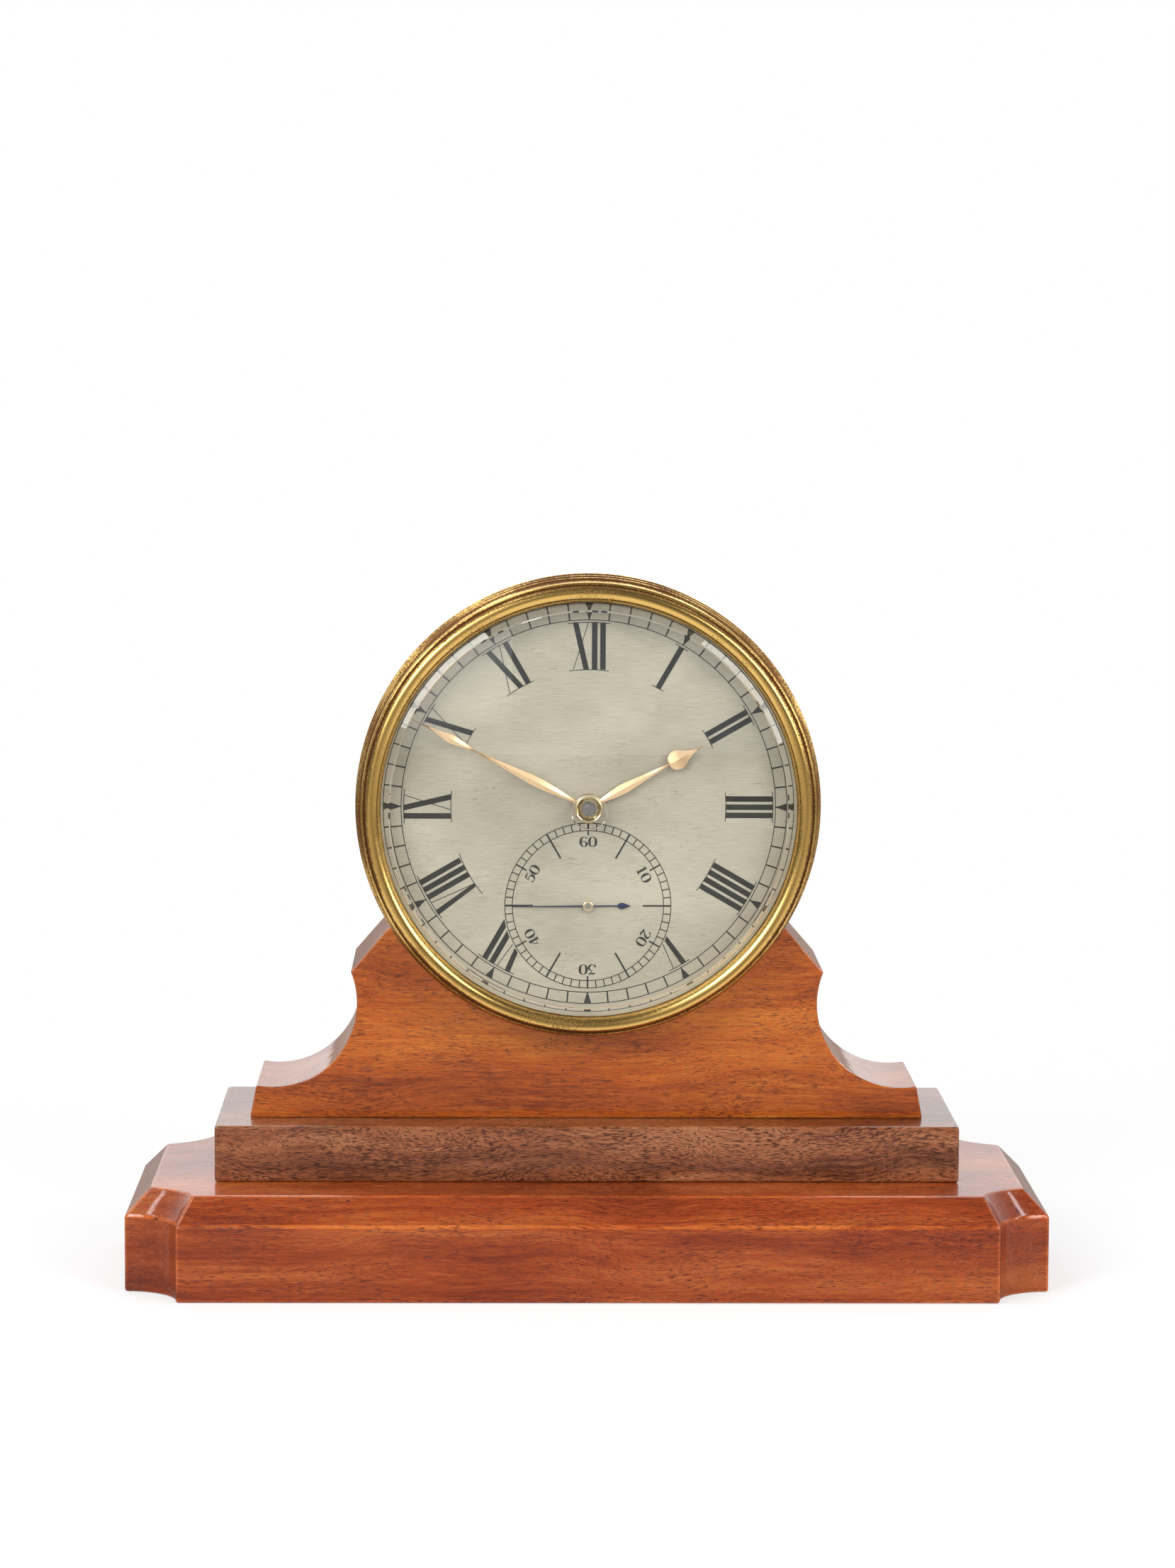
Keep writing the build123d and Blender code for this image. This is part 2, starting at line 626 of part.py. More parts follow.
def glass():
    """The convex glass: bevelled edge, shallow dome and a round hole for the setting key."""
    edge = DRUM_INNER_RADIUS
    top = GLASS_SEAT_Z + GLASS_EDGE_THICKNESS
    shoulder = BEZEL_OPENING_RADIUS - GLASS_CLEARANCE
    rim = shoulder - GLASS_BEVEL_WIDTH
    rim_z = top + GLASS_BEVEL_RISE
    inner_rim = rim - 0.4 * GLASS_THICKNESS
    outline = [(edge, GLASS_SEAT_Z), (edge, top), (shoulder, top)]
    for step in range(GLASS_DOME_STEPS + 1):
        radius = rim + (GLASS_HOLE_RADIUS - rim) * step / GLASS_DOME_STEPS
        outline.append((radius, dome_height(radius, GLASS_CROWN_Z, rim, rim_z)))
    for step in range(GLASS_DOME_STEPS + 1):
        radius = GLASS_HOLE_RADIUS + (inner_rim - GLASS_HOLE_RADIUS) * step / GLASS_DOME_STEPS
        height = dome_height(radius, GLASS_CROWN_Z, rim, rim_z) - GLASS_THICKNESS
        outline.append((radius, height))
    outline.append((shoulder - GLASS_THICKNESS, GLASS_SEAT_Z))
    return turned(outline)


def dial():
    """The silvered dial plate."""
    plate = disc(DIAL_RADIUS, -DIAL_THICKNESS, 0)
    plate -= disc(DIAL_CENTRE_HOLE_RADIUS, -DIAL_THICKNESS - 1, 1)
    return plate - disc(DIAL_SECONDS_HOLE_RADIUS, -DIAL_THICKNESS - 1, 1, SECONDS)


def dial_feet():
    """Three studs on the dial's back, through the front plate."""
    end = FRONT_PLATE_BACK - 4 * DIAL_PIN_RADIUS
    feet = []
    for angle in DIAL_FOOT_ANGLES:
        place = polar(DIAL_FOOT_CIRCLE, angle)
        foot = disc(DIAL_FOOT_RADIUS, end, -DIAL_THICKNESS, place)
        feet.append(foot - dial_pin(angle, SEAT_CLEARANCE))
    return Compound(children=feet)


def dial_pin(angle, clearance):
    """One tapered pin through a dial foot, or its hole."""
    place = polar(DIAL_FOOT_CIRCLE, angle)
    height = FRONT_PLATE_BACK - DIAL_PIN_RADIUS - SEAT_CLEARANCE
    pin = Rot(0, 90, 0) * Cylinder(DIAL_PIN_RADIUS + clearance, DIAL_PIN_LENGTH)
    return Pos(place[0], place[1], height) * Rot(0, 0, angle + 90) * pin


def dial_pins():
    """The pins that hold the dial's feet."""
    return Compound(children=[dial_pin(angle, -2 * SEAT_CLEARANCE) for angle in DIAL_FOOT_ANGLES])


def front_plate():
    """The pillar plate, which rests on the drum's ledge."""
    low, high = FRONT_PLATE_BACK, FRONT_PLATE_FRONT
    plate = disc(FRONT_PLATE_RADIUS, low, high)
    holes = [(CENTRE, CENTRE_NOSE_RADIUS + RUNNING_CLEARANCE)]
    holes += [(place, PIVOT_RADIUS + RUNNING_CLEARANCE) for place in (THIRD, SECONDS, ESCAPE)]
    holes.append((FUSEE, PIVOT_RADIUS * 1.6 + RUNNING_CLEARANCE))
    holes.append((BARREL, BARREL_ARBOR_RADIUS + SEAT_CLEARANCE))
    holes.append((MINUTE_STUD, MINUTE_STUD_RADIUS + SEAT_CLEARANCE))
    holes.append((click_pivot(), CLICK_SCREW_RADIUS + SEAT_CLEARANCE))
    for angle in DIAL_FOOT_ANGLES:
        holes.append((polar(DIAL_FOOT_CIRCLE, angle), DIAL_FOOT_RADIUS + SEAT_CLEARANCE))
    for angle in PILLAR_ANGLES:
        holes.append((polar(PILLAR_CIRCLE, angle), PILLAR_WAIST_RADIUS + SEAT_CLEARANCE))
    for place, radius in holes:
        plate -= disc(radius, low - 1, high + 1, place)
    return plate


def back_plate():
    """The top plate, which carries the balance on its outer side."""
    low, high = BACK_PLATE_BACK, BACK_PLATE_FRONT
    plate = disc(BACK_PLATE_RADIUS, low, high)
    holes = [(place, PIVOT_RADIUS + RUNNING_CLEARANCE) for place in (CENTRE, THIRD, SECONDS, ESCAPE)]
    holes.append((FUSEE, FUSEE_ARBOR_RADIUS + RUNNING_CLEARANCE))
    holes.append((BARREL, PIVOT_RADIUS * 2 + SEAT_CLEARANCE))
    holes.append((STAFF, STAFF_HOLE_RADIUS))
    holes.append((cock_foot(), PLATE_SCREW_RADIUS + SEAT_CLEARANCE))
    for angle in PILLAR_ANGLES:
        holes.append((polar(PILLAR_CIRCLE, angle), PLATE_SCREW_RADIUS + SEAT_CLEARANCE))
    for place, radius in holes:
        plate -= disc(radius, low - 1, high + 1, place)
    return plate


def pillars():
    """Turned pillars between the plates, riveted into the front plate."""
    low, high = BACK_PLATE_FRONT, FRONT_PLATE_BACK
    outline = [
        (PLATE_SCREW_RADIUS + SEAT_CLEARANCE, low),
        (PILLAR_RADIUS, low),
        (PILLAR_WAIST_RADIUS, low + 1.5 * PILLAR_COLLAR),
        (PILLAR_WAIST_RADIUS, high - 1.5 * PILLAR_COLLAR),
        (PILLAR_RADIUS, high),
        (PILLAR_WAIST_RADIUS, high),
        (PILLAR_WAIST_RADIUS, FRONT_PLATE_FRONT),
        (0, FRONT_PLATE_FRONT),
        (0, low + PLATE_SCREW_BITE),
        (PLATE_SCREW_RADIUS + SEAT_CLEARANCE, low + PLATE_SCREW_BITE),
    ]
    return Compound(children=[turned(outline, polar(PILLAR_CIRCLE, a)) for a in PILLAR_ANGLES])


def plate_screw(at, back, bite):
    """A cheese-headed screw driven forward from a face."""
    head = shaft([back - PLATE_SCREW_HEAD_HEIGHT, (PLATE_SCREW_HEAD_RADIUS, back)], at)
    return head + disc(PLATE_SCREW_RADIUS, back, back + bite, at)


def plate_screws():
    """The screws that hold the back plate to its pillars."""
    bite = PLATE_THICKNESS + PLATE_SCREW_BITE - END_SHAKE
    places = [polar(PILLAR_CIRCLE, angle) for angle in PILLAR_ANGLES]
    return Compound(children=[plate_screw(place, BACK_PLATE_BACK, bite) for place in places])


def train_arbor(at, teeth, module, phase, pinion_z, front_steps):
    """An arbor between the plates with its pinion cut on it."""
    low = BACK_PLATE_FRONT + END_SHAKE
    high = FRONT_PLATE_BACK - END_SHAKE
    steps = [BACK_PLATE_BACK + END_SHAKE, (PIVOT_RADIUS, low), (ARBOR_RADIUS, high)]
    body = shaft(steps + front_steps, at)
    return body + pinion(teeth, module, phase, pinion_z, PINION_LENGTH, 0, at)


def centre_arbor():
    """The centre arbor and its pinion, with the long nose that carries the hands."""
    middle = GREAT_WHEEL_Z - GREAT_WHEEL_THICKNESS / 2 - PINION_LENGTH / 2
    nose = [(CENTRE_NOSE_RADIUS, SQUARE_BACK_Z)]
    phase = bearing(CENTRE, FUSEE)
    return train_arbor(CENTRE, CENTRE_PINION_TEETH, GREAT_MODULE, phase, middle, nose)


def centre_wheel():
    """The centre wheel, on the centre arbor."""
    bore = ARBOR_RADIUS + SEAT_CLEARANCE
    low = CENTRE_WHEEL_Z - WHEEL_THICKNESS
    phase = bearing(CENTRE, THIRD)
    return wheel(CENTRE_TEETH, CENTRE_MODULE, phase, low, WHEEL_THICKNESS, bore, CENTRE)


def third_arbor():
    """The third arbor and its pinion."""
    pivot = [(PIVOT_RADIUS, FRONT_PLATE_FRONT - END_SHAKE)]
    low = BACK_PLATE_FRONT + END_SHAKE
    high = FRONT_PLATE_BACK - END_SHAKE
    steps = [BACK_PLATE_BACK + END_SHAKE, (PIVOT_RADIUS, low), (ARBOR_RADIUS, high)] + pivot
    leaves_low = high - PINION_LENGTH
    phase = bearing(THIRD, CENTRE)
    leaves = pinion(THIRD_PINION_TEETH, CENTRE_MODULE, phase, leaves_low, PINION_LENGTH, 0, THIRD)
    return shaft(steps, THIRD) + leaves


def third_wheel():
    """The third wheel, on the third arbor."""
    bore = ARBOR_RADIUS + SEAT_CLEARANCE
    low = THIRD_WHEEL_Z - WHEEL_THICKNESS
    phase = bearing(THIRD, SECONDS)
    return wheel(THIRD_TEETH, THIRD_MODULE, phase, low, WHEEL_THICKNESS, bore, THIRD)


def fourth_arbor():
    """The fourth arbor, whose long front pivot carries the seconds hand."""
    middle = THIRD_WHEEL_Z - WHEEL_THICKNESS / 2 - PINION_LENGTH / 2
    nose = [(PIVOT_RADIUS, SECONDS_HAND_Z + SECONDS_BOSS_HEIGHT)]
    phase = bearing(SECONDS, THIRD)
    return train_arbor(SECONDS, FOURTH_PINION_TEETH, THIRD_MODULE, phase, middle, nose)


def fourth_wheel():
    """The fourth wheel, on the fourth arbor."""
    bore = ARBOR_RADIUS + SEAT_CLEARANCE
    low = FOURTH_WHEEL_Z - WHEEL_THICKNESS
    phase = bearing(SECONDS, ESCAPE)
    return wheel(FOURTH_TEETH, FOURTH_MODULE, phase, low, WHEEL_THICKNESS, bore, SECONDS)


def escape_arbor():
    """The escape arbor and its pinion."""
    middle = FOURTH_WHEEL_Z - WHEEL_THICKNESS / 2 - PINION_LENGTH / 2
    pivot = [(PIVOT_RADIUS, FRONT_PLATE_FRONT - END_SHAKE)]
    phase = bearing(ESCAPE, SECONDS)
    return train_arbor(ESCAPE, ESCAPE_PINION_TEETH, FOURTH_MODULE, phase, middle, pivot)


def escape_wheel():
    """The escape wheel, with pointed teeth raked forward."""
    pitch = 360 / ESCAPE_TEETH
    points = []
    for index in range(ESCAPE_TEETH):
        start = BALANCE_DIRECTION + (index + 0.5) * pitch
        points.append(polar(ESCAPE_RADIUS, start))
        points.append(polar(ESCAPE_RADIUS, start + 0.08 * pitch))
        points.append(polar(ESCAPE_RADIUS * 0.74, start + 0.38 * pitch))
        points.append(polar(ESCAPE_RADIUS * 0.72, start + 0.86 * pitch))
    low = ESCAPE_WHEEL_Z - ESCAPE_THICKNESS
    blank = prism(points, low, ESCAPE_WHEEL_Z)
    window = Circle(ESCAPE_RADIUS * 0.6) - Circle(ARBOR_RADIUS * 2)
    for spoke in range(WHEEL_SPOKES):
        bar = Pos(ESCAPE_RADIUS / 2, 0) * Rectangle(ESCAPE_RADIUS, ARBOR_RADIUS)
        window -= Rot(0, 0, spoke * 360 / WHEEL_SPOKES) * bar
    blank -= Pos(0, 0, low - 1) * extrude(window, ESCAPE_THICKNESS + 2)
    blank -= disc(ARBOR_RADIUS + SEAT_CLEARANCE, low - 1, ESCAPE_WHEEL_Z + 1)
    return Pos(ESCAPE[0], ESCAPE[1], 0) * blank


def great_wheel():
    """The great wheel, free on the fusee's arbor."""
    bore = FUSEE_ARBOR_RADIUS + RUNNING_CLEARANCE
    low = GREAT_WHEEL_Z - GREAT_WHEEL_THICKNESS
    phase = bearing(FUSEE, CENTRE)
    return wheel(GREAT_TEETH, GREAT_MODULE, phase, low, GREAT_WHEEL_THICKNESS, bore, FUSEE)


def fusee_radius(turn):
    """The chain's radius on the fusee, falling as the spring winds up."""
    share = turn / (FUSEE_GROOVES - 1)
    pull = 1 + share * (FUSEE_LARGE_RADIUS / FUSEE_SMALL_RADIUS - 1)
    return FUSEE_LARGE_RADIUS / pull


def fusee_front():
    """The height of the fusee's large end."""
    return GREAT_WHEEL_Z - GREAT_WHEEL_THICKNESS - 2 * END_SHAKE


def fusee_cone():
    """The grooved fusee, whose small end is at the back."""
    front = fusee_front()
    bore = FUSEE_ARBOR_RADIUS + SEAT_CLEARANCE
    edge = FUSEE_LARGE_RADIUS + FUSEE_RIM
    points = [(bore, front), (edge, front), (edge, front - FUSEE_RIM)]
    height = front - FUSEE_RIM
    for turn in range(FUSEE_GROOVES):
        radius = fusee_radius(turn)
        land = radius + FUSEE_GROOVE_DEPTH
        points += [(land, height), (radius, height), (radius, height - FUSEE_PITCH * 0.75)]
        points.append((land, height - FUSEE_PITCH * 0.75))
        height -= FUSEE_PITCH
    points += [(fusee_radius(FUSEE_GROOVES - 1) + FUSEE_GROOVE_DEPTH, height), (bore, height)]
    return turned(points, FUSEE)


def fusee_arbor():
    """The fusee's arbor, with the winding square at its back end."""
    low = BACK_PLATE_BACK - END_SHAKE
    high = FRONT_PLATE_BACK - END_SHAKE
    body = shaft(
        [low, (FUSEE_ARBOR_RADIUS, high), (PIVOT_RADIUS * 1.6, FRONT_PLATE_FRONT - END_SHAKE)],
        FUSEE,
    )
    square = block(WINDING_SQUARE, WINDING_SQUARE, low - WINDING_SQUARE_LENGTH, low, FUSEE)
    return body + square


def barrel_front():
    """The height of the barrel's front face."""
    return GREAT_WHEEL_Z - GREAT_WHEEL_THICKNESS - 8 * END_SHAKE


def barrel():
    """The mainspring barrel, open at the front."""
    front = barrel_front()
    back = front - BARREL_LENGTH
    body = disc(BARREL_RADIUS, back, front, BARREL)
    body -= disc(BARREL_RADIUS - BARREL_WALL, back + BARREL_WALL, front + 1, BARREL)
    return body - disc(BARREL_ARBOR_RADIUS + RUNNING_CLEARANCE, back - 1, front + 1, BARREL)


def barrel_cover():
    """The barrel's cover."""
    front = barrel_front()
    outer = BARREL_RADIUS - BARREL_WALL - SEAT_CLEARANCE
    bore = BARREL_ARBOR_RADIUS + RUNNING_CLEARANCE
    return washer(outer, bore, front - BARREL_WALL, front, BARREL)


def barrel_arbor():
    """The barrel arbor, fixed to the plates, with a hub that holds the mainspring."""
    front = barrel_front()
    hub_low = front - BARREL_LENGTH + BARREL_WALL + END_SHAKE
    hub_high = front - BARREL_WALL - END_SHAKE
    steps = [
        BACK_PLATE_BACK,
        (PIVOT_RADIUS * 2, BACK_PLATE_FRONT),
        (BARREL_ARBOR_RADIUS, hub_low),
        (BARREL_HUB_RADIUS, hub_high),
        (BARREL_ARBOR_RADIUS, ratchet_front() + END_SHAKE),
    ]
    return shaft(steps, BARREL)


def mainspring():
    """The coiled mainspring inside the barrel."""
    front = barrel_front()
    low = front - BARREL_LENGTH + BARREL_WALL + MAINSPRING_MARGIN
    high = front - BARREL_WALL - MAINSPRING_MARGIN
    inner = BARREL_HUB_RADIUS + MAINSPRING_MARGIN
    outer = BARREL_RADIUS - BARREL_WALL - MAINSPRING_MARGIN - MAINSPRING_THICKNESS
    steps = 16 * MAINSPRING_TURNS
    path = []
    for index in range(steps + 1):
        share = index / steps
        path.append((inner + share * (outer - inner), share * 360 * MAINSPRING_TURNS))
    inside = [polar(radius, angle) for radius, angle in path]
    outside = [polar(radius + MAINSPRING_THICKNESS, angle) for radius, angle in reversed(path)]
    return Pos(BARREL[0], BARREL[1], 0) * prism(inside + outside, low, high)


def chain_path():
    """The chain's run round the fusee, across to the barrel and round it."""
    fusee_r = fusee_radius(CHAIN_GROOVE) + CHAIN_CLEARANCE + CHAIN_WIDTH / 2
    barrel_r = BARREL_RADIUS + CHAIN_CLEARANCE + CHAIN_WIDTH / 2
    line = bearing(FUSEE, BARREL)
    lean = math.degrees(math.asin((fusee_r - barrel_r) / math.dist(FUSEE, BARREL)))
    tangent = line + 90 - lean
    points = []
    step = math.degrees(CHAIN_PITCH / fusee_r)
    for index in range(int(CHAIN_FUSEE_WRAP / step), 0, -1):
        points.append(polar(fusee_r, tangent + index * step, FUSEE))
    start, end = polar(fusee_r, tangent, FUSEE), polar(barrel_r, tangent, BARREL)
    count = max(2, round(math.dist(start, end) / CHAIN_PITCH))
    for index in range(count):
        share = index / count
        points.append((start[0] + share * (end[0] - start[0]), start[1] + share * (end[1] - start[1])))
    step = math.degrees(CHAIN_PITCH / barrel_r)
    for index in range(int(CHAIN_BARREL_WRAP / step)):
        points.append(polar(barrel_r, tangent - index * step, BARREL))
    return points


def chain_plate(start, end, z_from, z_to):
    """One flat link plate between two rivets."""
    length = math.dist(start, end)
    half, end_half = CHAIN_WIDTH / 2, CHAIN_WIDTH / 5
    reach = length / 2 + CHAIN_WIDTH / 2
    outline = [(-reach, -end_half), (-length / 2, -half), (length / 2, -half), (reach, -end_half)]
    outline += [(x, -y) for x, y in reversed(outline)]
    middle = ((start[0] + end[0]) / 2, (start[1] + end[1]) / 2)
    turn = bearing(start, end)
    return Pos(middle[0], middle[1], 0) * Rot(0, 0, turn) * prism(outline, z_from, z_to)


def fusee_chain():
    """The fusee chain: single inner plates and double outer plates in turn."""
    height = fusee_front() - FUSEE_RIM - FUSEE_PITCH * (CHAIN_GROOVE + 0.375)
    half = CHAIN_PLATE / 2
    points = chain_path()
    plates = []
    for index in range(len(points) - 1):
        start, end = points[index], points[index + 1]
        if index % 2:
            plates.append(chain_plate(start, end, height - half, height + half))
        else:
            plates.append(chain_plate(start, end, height + half, height + half + CHAIN_PLATE))
            plates.append(chain_plate(start, end, height - half - CHAIN_PLATE, height - half))
    return Compound(children=plates)


def ratchet_front():
    """The height of the set-up ratchet's front face."""
    return FRONT_PLATE_FRONT + END_SHAKE + RATCHET_THICKNESS


def setup_ratchet():
    """The set-up ratchet on the barrel arbor, which keeps the mainspring's tension."""
    pitch = 360 / RATCHET_TEETH
    start = bearing(BARREL, click_pivot())
    points = []
    for index in range(RATCHET_TEETH):
        angle = start + index * pitch
        points.append(polar(RATCHET_RADIUS, angle + 0.5 * pitch))
        points.append(polar(RATCHET_RADIUS - RATCHET_TOOTH_DEPTH, angle + 0.6 * pitch))
    low = FRONT_PLATE_FRONT + END_SHAKE
    blank = prism(points, low, ratchet_front())
    blank -= disc(BARREL_ARBOR_RADIUS + SEAT_CLEARANCE, low - 1, ratchet_front() + 1)
    return Pos(BARREL[0], BARREL[1], 0) * blank


def click_pivot():
    """The place of the click's screw, beside the ratchet."""
    reach = RATCHET_RADIUS + CLICK_LENGTH * 0.55
    return polar(reach, 75.0, BARREL)


def ratchet_click():
    """The click, whose nose lies just clear of the ratchet's teeth."""
    pivot = click_pivot()
    low = FRONT_PLATE_FRONT + END_SHAKE
    toward = bearing(pivot, BARREL)
    nose = math.dist(pivot, BARREL) - RATCHET_RADIUS - 2 * END_SHAKE
    outline = [(0, -CLICK_WIDTH / 2), (nose, -CLICK_WIDTH / 6), (nose, CLICK_WIDTH / 6)]
    outline += [(0, CLICK_WIDTH / 2), (-CLICK_LENGTH * 0.3, 0)]
    arm = Pos(pivot[0], pivot[1], 0) * Rot(0, 0, toward) * prism(outline, low, ratchet_front())
    eye = disc(CLICK_SCREW_RADIUS * 2, low, ratchet_front(), pivot)
    return arm + eye - disc(CLICK_SCREW_RADIUS + RUNNING_CLEARANCE, low - 1, 0, pivot)


def click_screw():
    """The click's shouldered screw."""
    top = ratchet_front() + END_SHAKE
    steps = [FRONT_PLATE_BACK + END_SHAKE, (CLICK_SCREW_RADIUS, top)]
    steps.append((CLICK_SCREW_RADIUS * 2, top + 2 * DIAL_PIN_RADIUS))
    return shaft(steps, click_pivot())


def cannon_pinion():
    """The cannon pinion: leaves, the pipe for the minute hand and the setting square."""
    low = CANNON_BACK_Z
    bore = CENTRE_NOSE_RADIUS + SEAT_CLEARANCE
    module = 2 * MOTION_DISTANCE / (CANNON_TEETH + MINUTE_WHEEL_TEETH)
    phase = bearing(CENTRE, MINUTE_STUD)
    leaves = pinion(CANNON_TEETH, module, phase, low, CANNON_LEAF_LENGTH, 0, CENTRE)
    pipe = leaves + disc(CANNON_PIPE_RADIUS, low, SQUARE_BACK_Z)
    pipe -= disc(bore, low - 1, SQUARE_BACK_Z)
    square_top = SQUARE_BACK_Z + SETTING_SQUARE_LENGTH
    square = block(SETTING_SQUARE, SETTING_SQUARE, SQUARE_BACK_Z, square_top, CENTRE, SETTING_SQUARE_TURN)
    return pipe + square


def minute_wheel():
    """The minute wheel and its pinion, on a stud behind the dial."""
    module = 2 * MOTION_DISTANCE / (CANNON_TEETH + MINUTE_WHEEL_TEETH)
    bore = MINUTE_STUD_RADIUS + RUNNING_CLEARANCE
    low = MINUTE_WHEEL_BACK_Z
    phase = bearing(MINUTE_STUD, CENTRE)
    flat = wheel(MINUTE_WHEEL_TEETH, module, phase, low, MINUTE_WHEEL_THICKNESS, bore, MINUTE_STUD)
    small = 2 * MOTION_DISTANCE / (MINUTE_PINION_TEETH + HOUR_WHEEL_TEETH)
    top = low + MINUTE_WHEEL_THICKNESS
    length = MINUTE_PINION_FRONT_Z - top
    return flat + pinion(MINUTE_PINION_TEETH, small, phase, top, length, bore, MINUTE_STUD)


def minute_wheel_stud():
    """The stud in the front plate that the minute wheel turns on."""
    top = MINUTE_PINION_FRONT_Z + END_SHAKE
    return disc(MINUTE_STUD_RADIUS, FRONT_PLATE_BACK + END_SHAKE, top, MINUTE_STUD)


def hour_wheel():
    """The hour wheel and the pipe that carries the hour hand."""
    module = 2 * MOTION_DISTANCE / (MINUTE_PINION_TEETH + HOUR_WHEEL_TEETH)
    low = HOUR_WHEEL_BACK_Z
    phase = bearing(CENTRE, MINUTE_STUD)
    flat = wheel(HOUR_WHEEL_TEETH, module, phase, low, HOUR_WHEEL_THICKNESS, HOUR_PIPE_BORE, CENTRE)
    return flat + washer(HOUR_PIPE_RADIUS, HOUR_PIPE_BORE, low, HOUR_PIPE_TOP_Z)


def hand_blade(stations, z_back, thickness, angle, boss, bore):
    """A hand from half widths along its length, pointing at a clock angle, on a round boss."""
    right = [(width, reach) for reach, width in stations]
    left = [(-width, reach) for reach, width in reversed(stations) if width > 0]
    blade = prism(left[-1:] + right + left[:-1], z_back, z_back + thickness)
    blade += disc(boss, z_back, z_back + thickness)
    blade -= disc(bore, z_back - 1, z_back + thickness + 1)
    return Rot(0, 0, -angle) * blade


def minute_hand():
    """The gold minute hand: a swelling shaft, a lozenge and a point."""
    reach = MINUTE_HAND_LENGTH
    stations = [
        (0.0, 0.3),
        (0.10 * reach, 0.35),
        (0.30 * reach, 0.58),
        (0.63 * reach, 0.25),
        (0.75 * reach, 0.8),
        (0.90 * reach, 0.3),
        (reach, 0.0),
    ]
    bore = CANNON_PIPE_RADIUS + SEAT_CLEARANCE
    boss = bore + HAND_BOSS_WALL
    return hand_blade(stations, MINUTE_HAND_Z, HAND_THICKNESS, MINUTE_HAND_ANGLE, boss, bore)


def hour_hand():
    """The gold hour hand: a swelling shaft and a round-lobed spade."""
    reach = HOUR_HAND_LENGTH
    stations = [
        (0.0, 0.3),
        (0.12 * reach, 0.35),
        (0.30 * reach, 0.66),
        (0.69 * reach, 0.25),
        (0.71 * reach, 0.9),
        (0.74 * reach, 1.7),
        (0.78 * reach, 2.0),
        (0.83 * reach, 1.75),
        (0.87 * reach, 1.0),
        (0.92 * reach, 0.4),
        (reach, 0.0),
    ]
    bore = HOUR_PIPE_RADIUS + SEAT_CLEARANCE
    boss = bore + HAND_BOSS_WALL
    return hand_blade(stations, HOUR_HAND_Z, HAND_THICKNESS, HOUR_HAND_ANGLE, boss, bore)


def seconds_hand():
    """The blued steel seconds hand with its leaf-shaped counterpoise."""
    tail = SECONDS_TAIL_LENGTH
    stations = [
        (-tail, 0.1),
        (-0.92 * tail, 0.45),
        (-0.80 * tail, 0.75),
        (-0.70 * tail, 0.15),
        (0.0, 0.2),
        (SECONDS_HAND_LENGTH, 0.12),
    ]
    bore = PIVOT_RADIUS + SEAT_CLEARANCE
    hand = hand_blade(
        stations,
        SECONDS_HAND_Z,
        SECONDS_HAND_THICKNESS,
        SECONDS_HAND_ANGLE,
        SECONDS_BOSS_RADIUS * 0.8,
        bore,
    )
    return Pos(SECONDS[0], SECONDS[1], 0) * hand


def seconds_hand_boss():
    """The brass boss that holds the seconds hand on its arbor."""
    low = SECONDS_HAND_Z + SECONDS_HAND_THICKNESS
    high = SECONDS_HAND_Z + SECONDS_BOSS_HEIGHT
    return washer(SECONDS_BOSS_RADIUS, PIVOT_RADIUS + SEAT_CLEARANCE, low, high, SECONDS)


def hand_hub():
    """The polished collet over the minute hand, recessed round the setting square."""
    bore = CANNON_PIPE_RADIUS + SEAT_CLEARANCE
    points = [
        (bore, HUB_BACK_Z),
        (HUB_RADIUS - 0.5, HUB_BACK_Z),
        (HUB_RADIUS, HUB_BACK_Z + 0.5),
        (HUB_RADIUS, HUB_FRONT_Z - 0.6),
        (HUB_RADIUS - 0.5, HUB_FRONT_Z),
        (HUB_RECESS_RADIUS, HUB_FRONT_Z),
        (HUB_RECESS_RADIUS, HUB_FRONT_Z - HUB_RECESS_DEPTH),
        (bore, HUB_FRONT_Z - HUB_RECESS_DEPTH),
    ]
    return turned(points)


def balance_z():
    """The height of the balance's front face."""
    return BACK_PLATE_BACK - BALANCE_OFFSET


def ring_sector(inner, outer, start, sweep, z_from, z_to):
    """A curved block between two radii and two angles."""
    count = max(2, int(abs(sweep) / 6))
    angles = [start + sweep * index / count for index in range(count + 1)]
    points = [polar(outer, angle) for angle in angles]
    points += [polar(inner, angle) for angle in reversed(angles)]
    return prism(points, z_from, z_to)


def balance_wheel():
    """The compensation balance: a cut bimetallic rim on two arms."""
    high = balance_z()
    low = high - BALANCE_HEIGHT
    inner = BALANCE_RADIUS - BALANCE_RIM
    sweep = 180 - BALANCE_CUT
    body = ring_sector(inner, BALANCE_RADIUS, -BALANCE_LAP, sweep, low, high)
    body += ring_sector(inner, BALANCE_RADIUS, 180 - BALANCE_LAP, sweep, low, high)
    arm_low = low + (BALANCE_HEIGHT - BALANCE_ARM_THICKNESS) / 4
    arm_high = arm_low + BALANCE_ARM_THICKNESS
    body += block(2 * inner + BALANCE_RIM, BALANCE_ARM_WIDTH, arm_low, arm_high)
    body += disc(3 * STAFF_RADIUS, arm_low, arm_high)
    body -= disc(STAFF_RADIUS + SEAT_CLEARANCE, low - 1, high + 1)
    return Pos(STAFF[0], STAFF[1], 0) * body


def balance_weights():
    """The two compensation weights on the balance's rim."""
    middle = balance_z() - BALANCE_HEIGHT / 2
    low, high = middle - WEIGHT_HEIGHT / 2, middle + WEIGHT_HEIGHT / 2
    inner = BALANCE_RADIUS + SEAT_CLEARANCE * 10
    outer = inner + WEIGHT_THICKNESS
    weights = []
    for start in (WEIGHT_START, WEIGHT_START + 180):
        weight = ring_sector(inner, outer, start, WEIGHT_ANGLE, low, high)
        weights.append(Pos(STAFF[0], STAFF[1], 0) * weight)
    return Compound(children=weights)


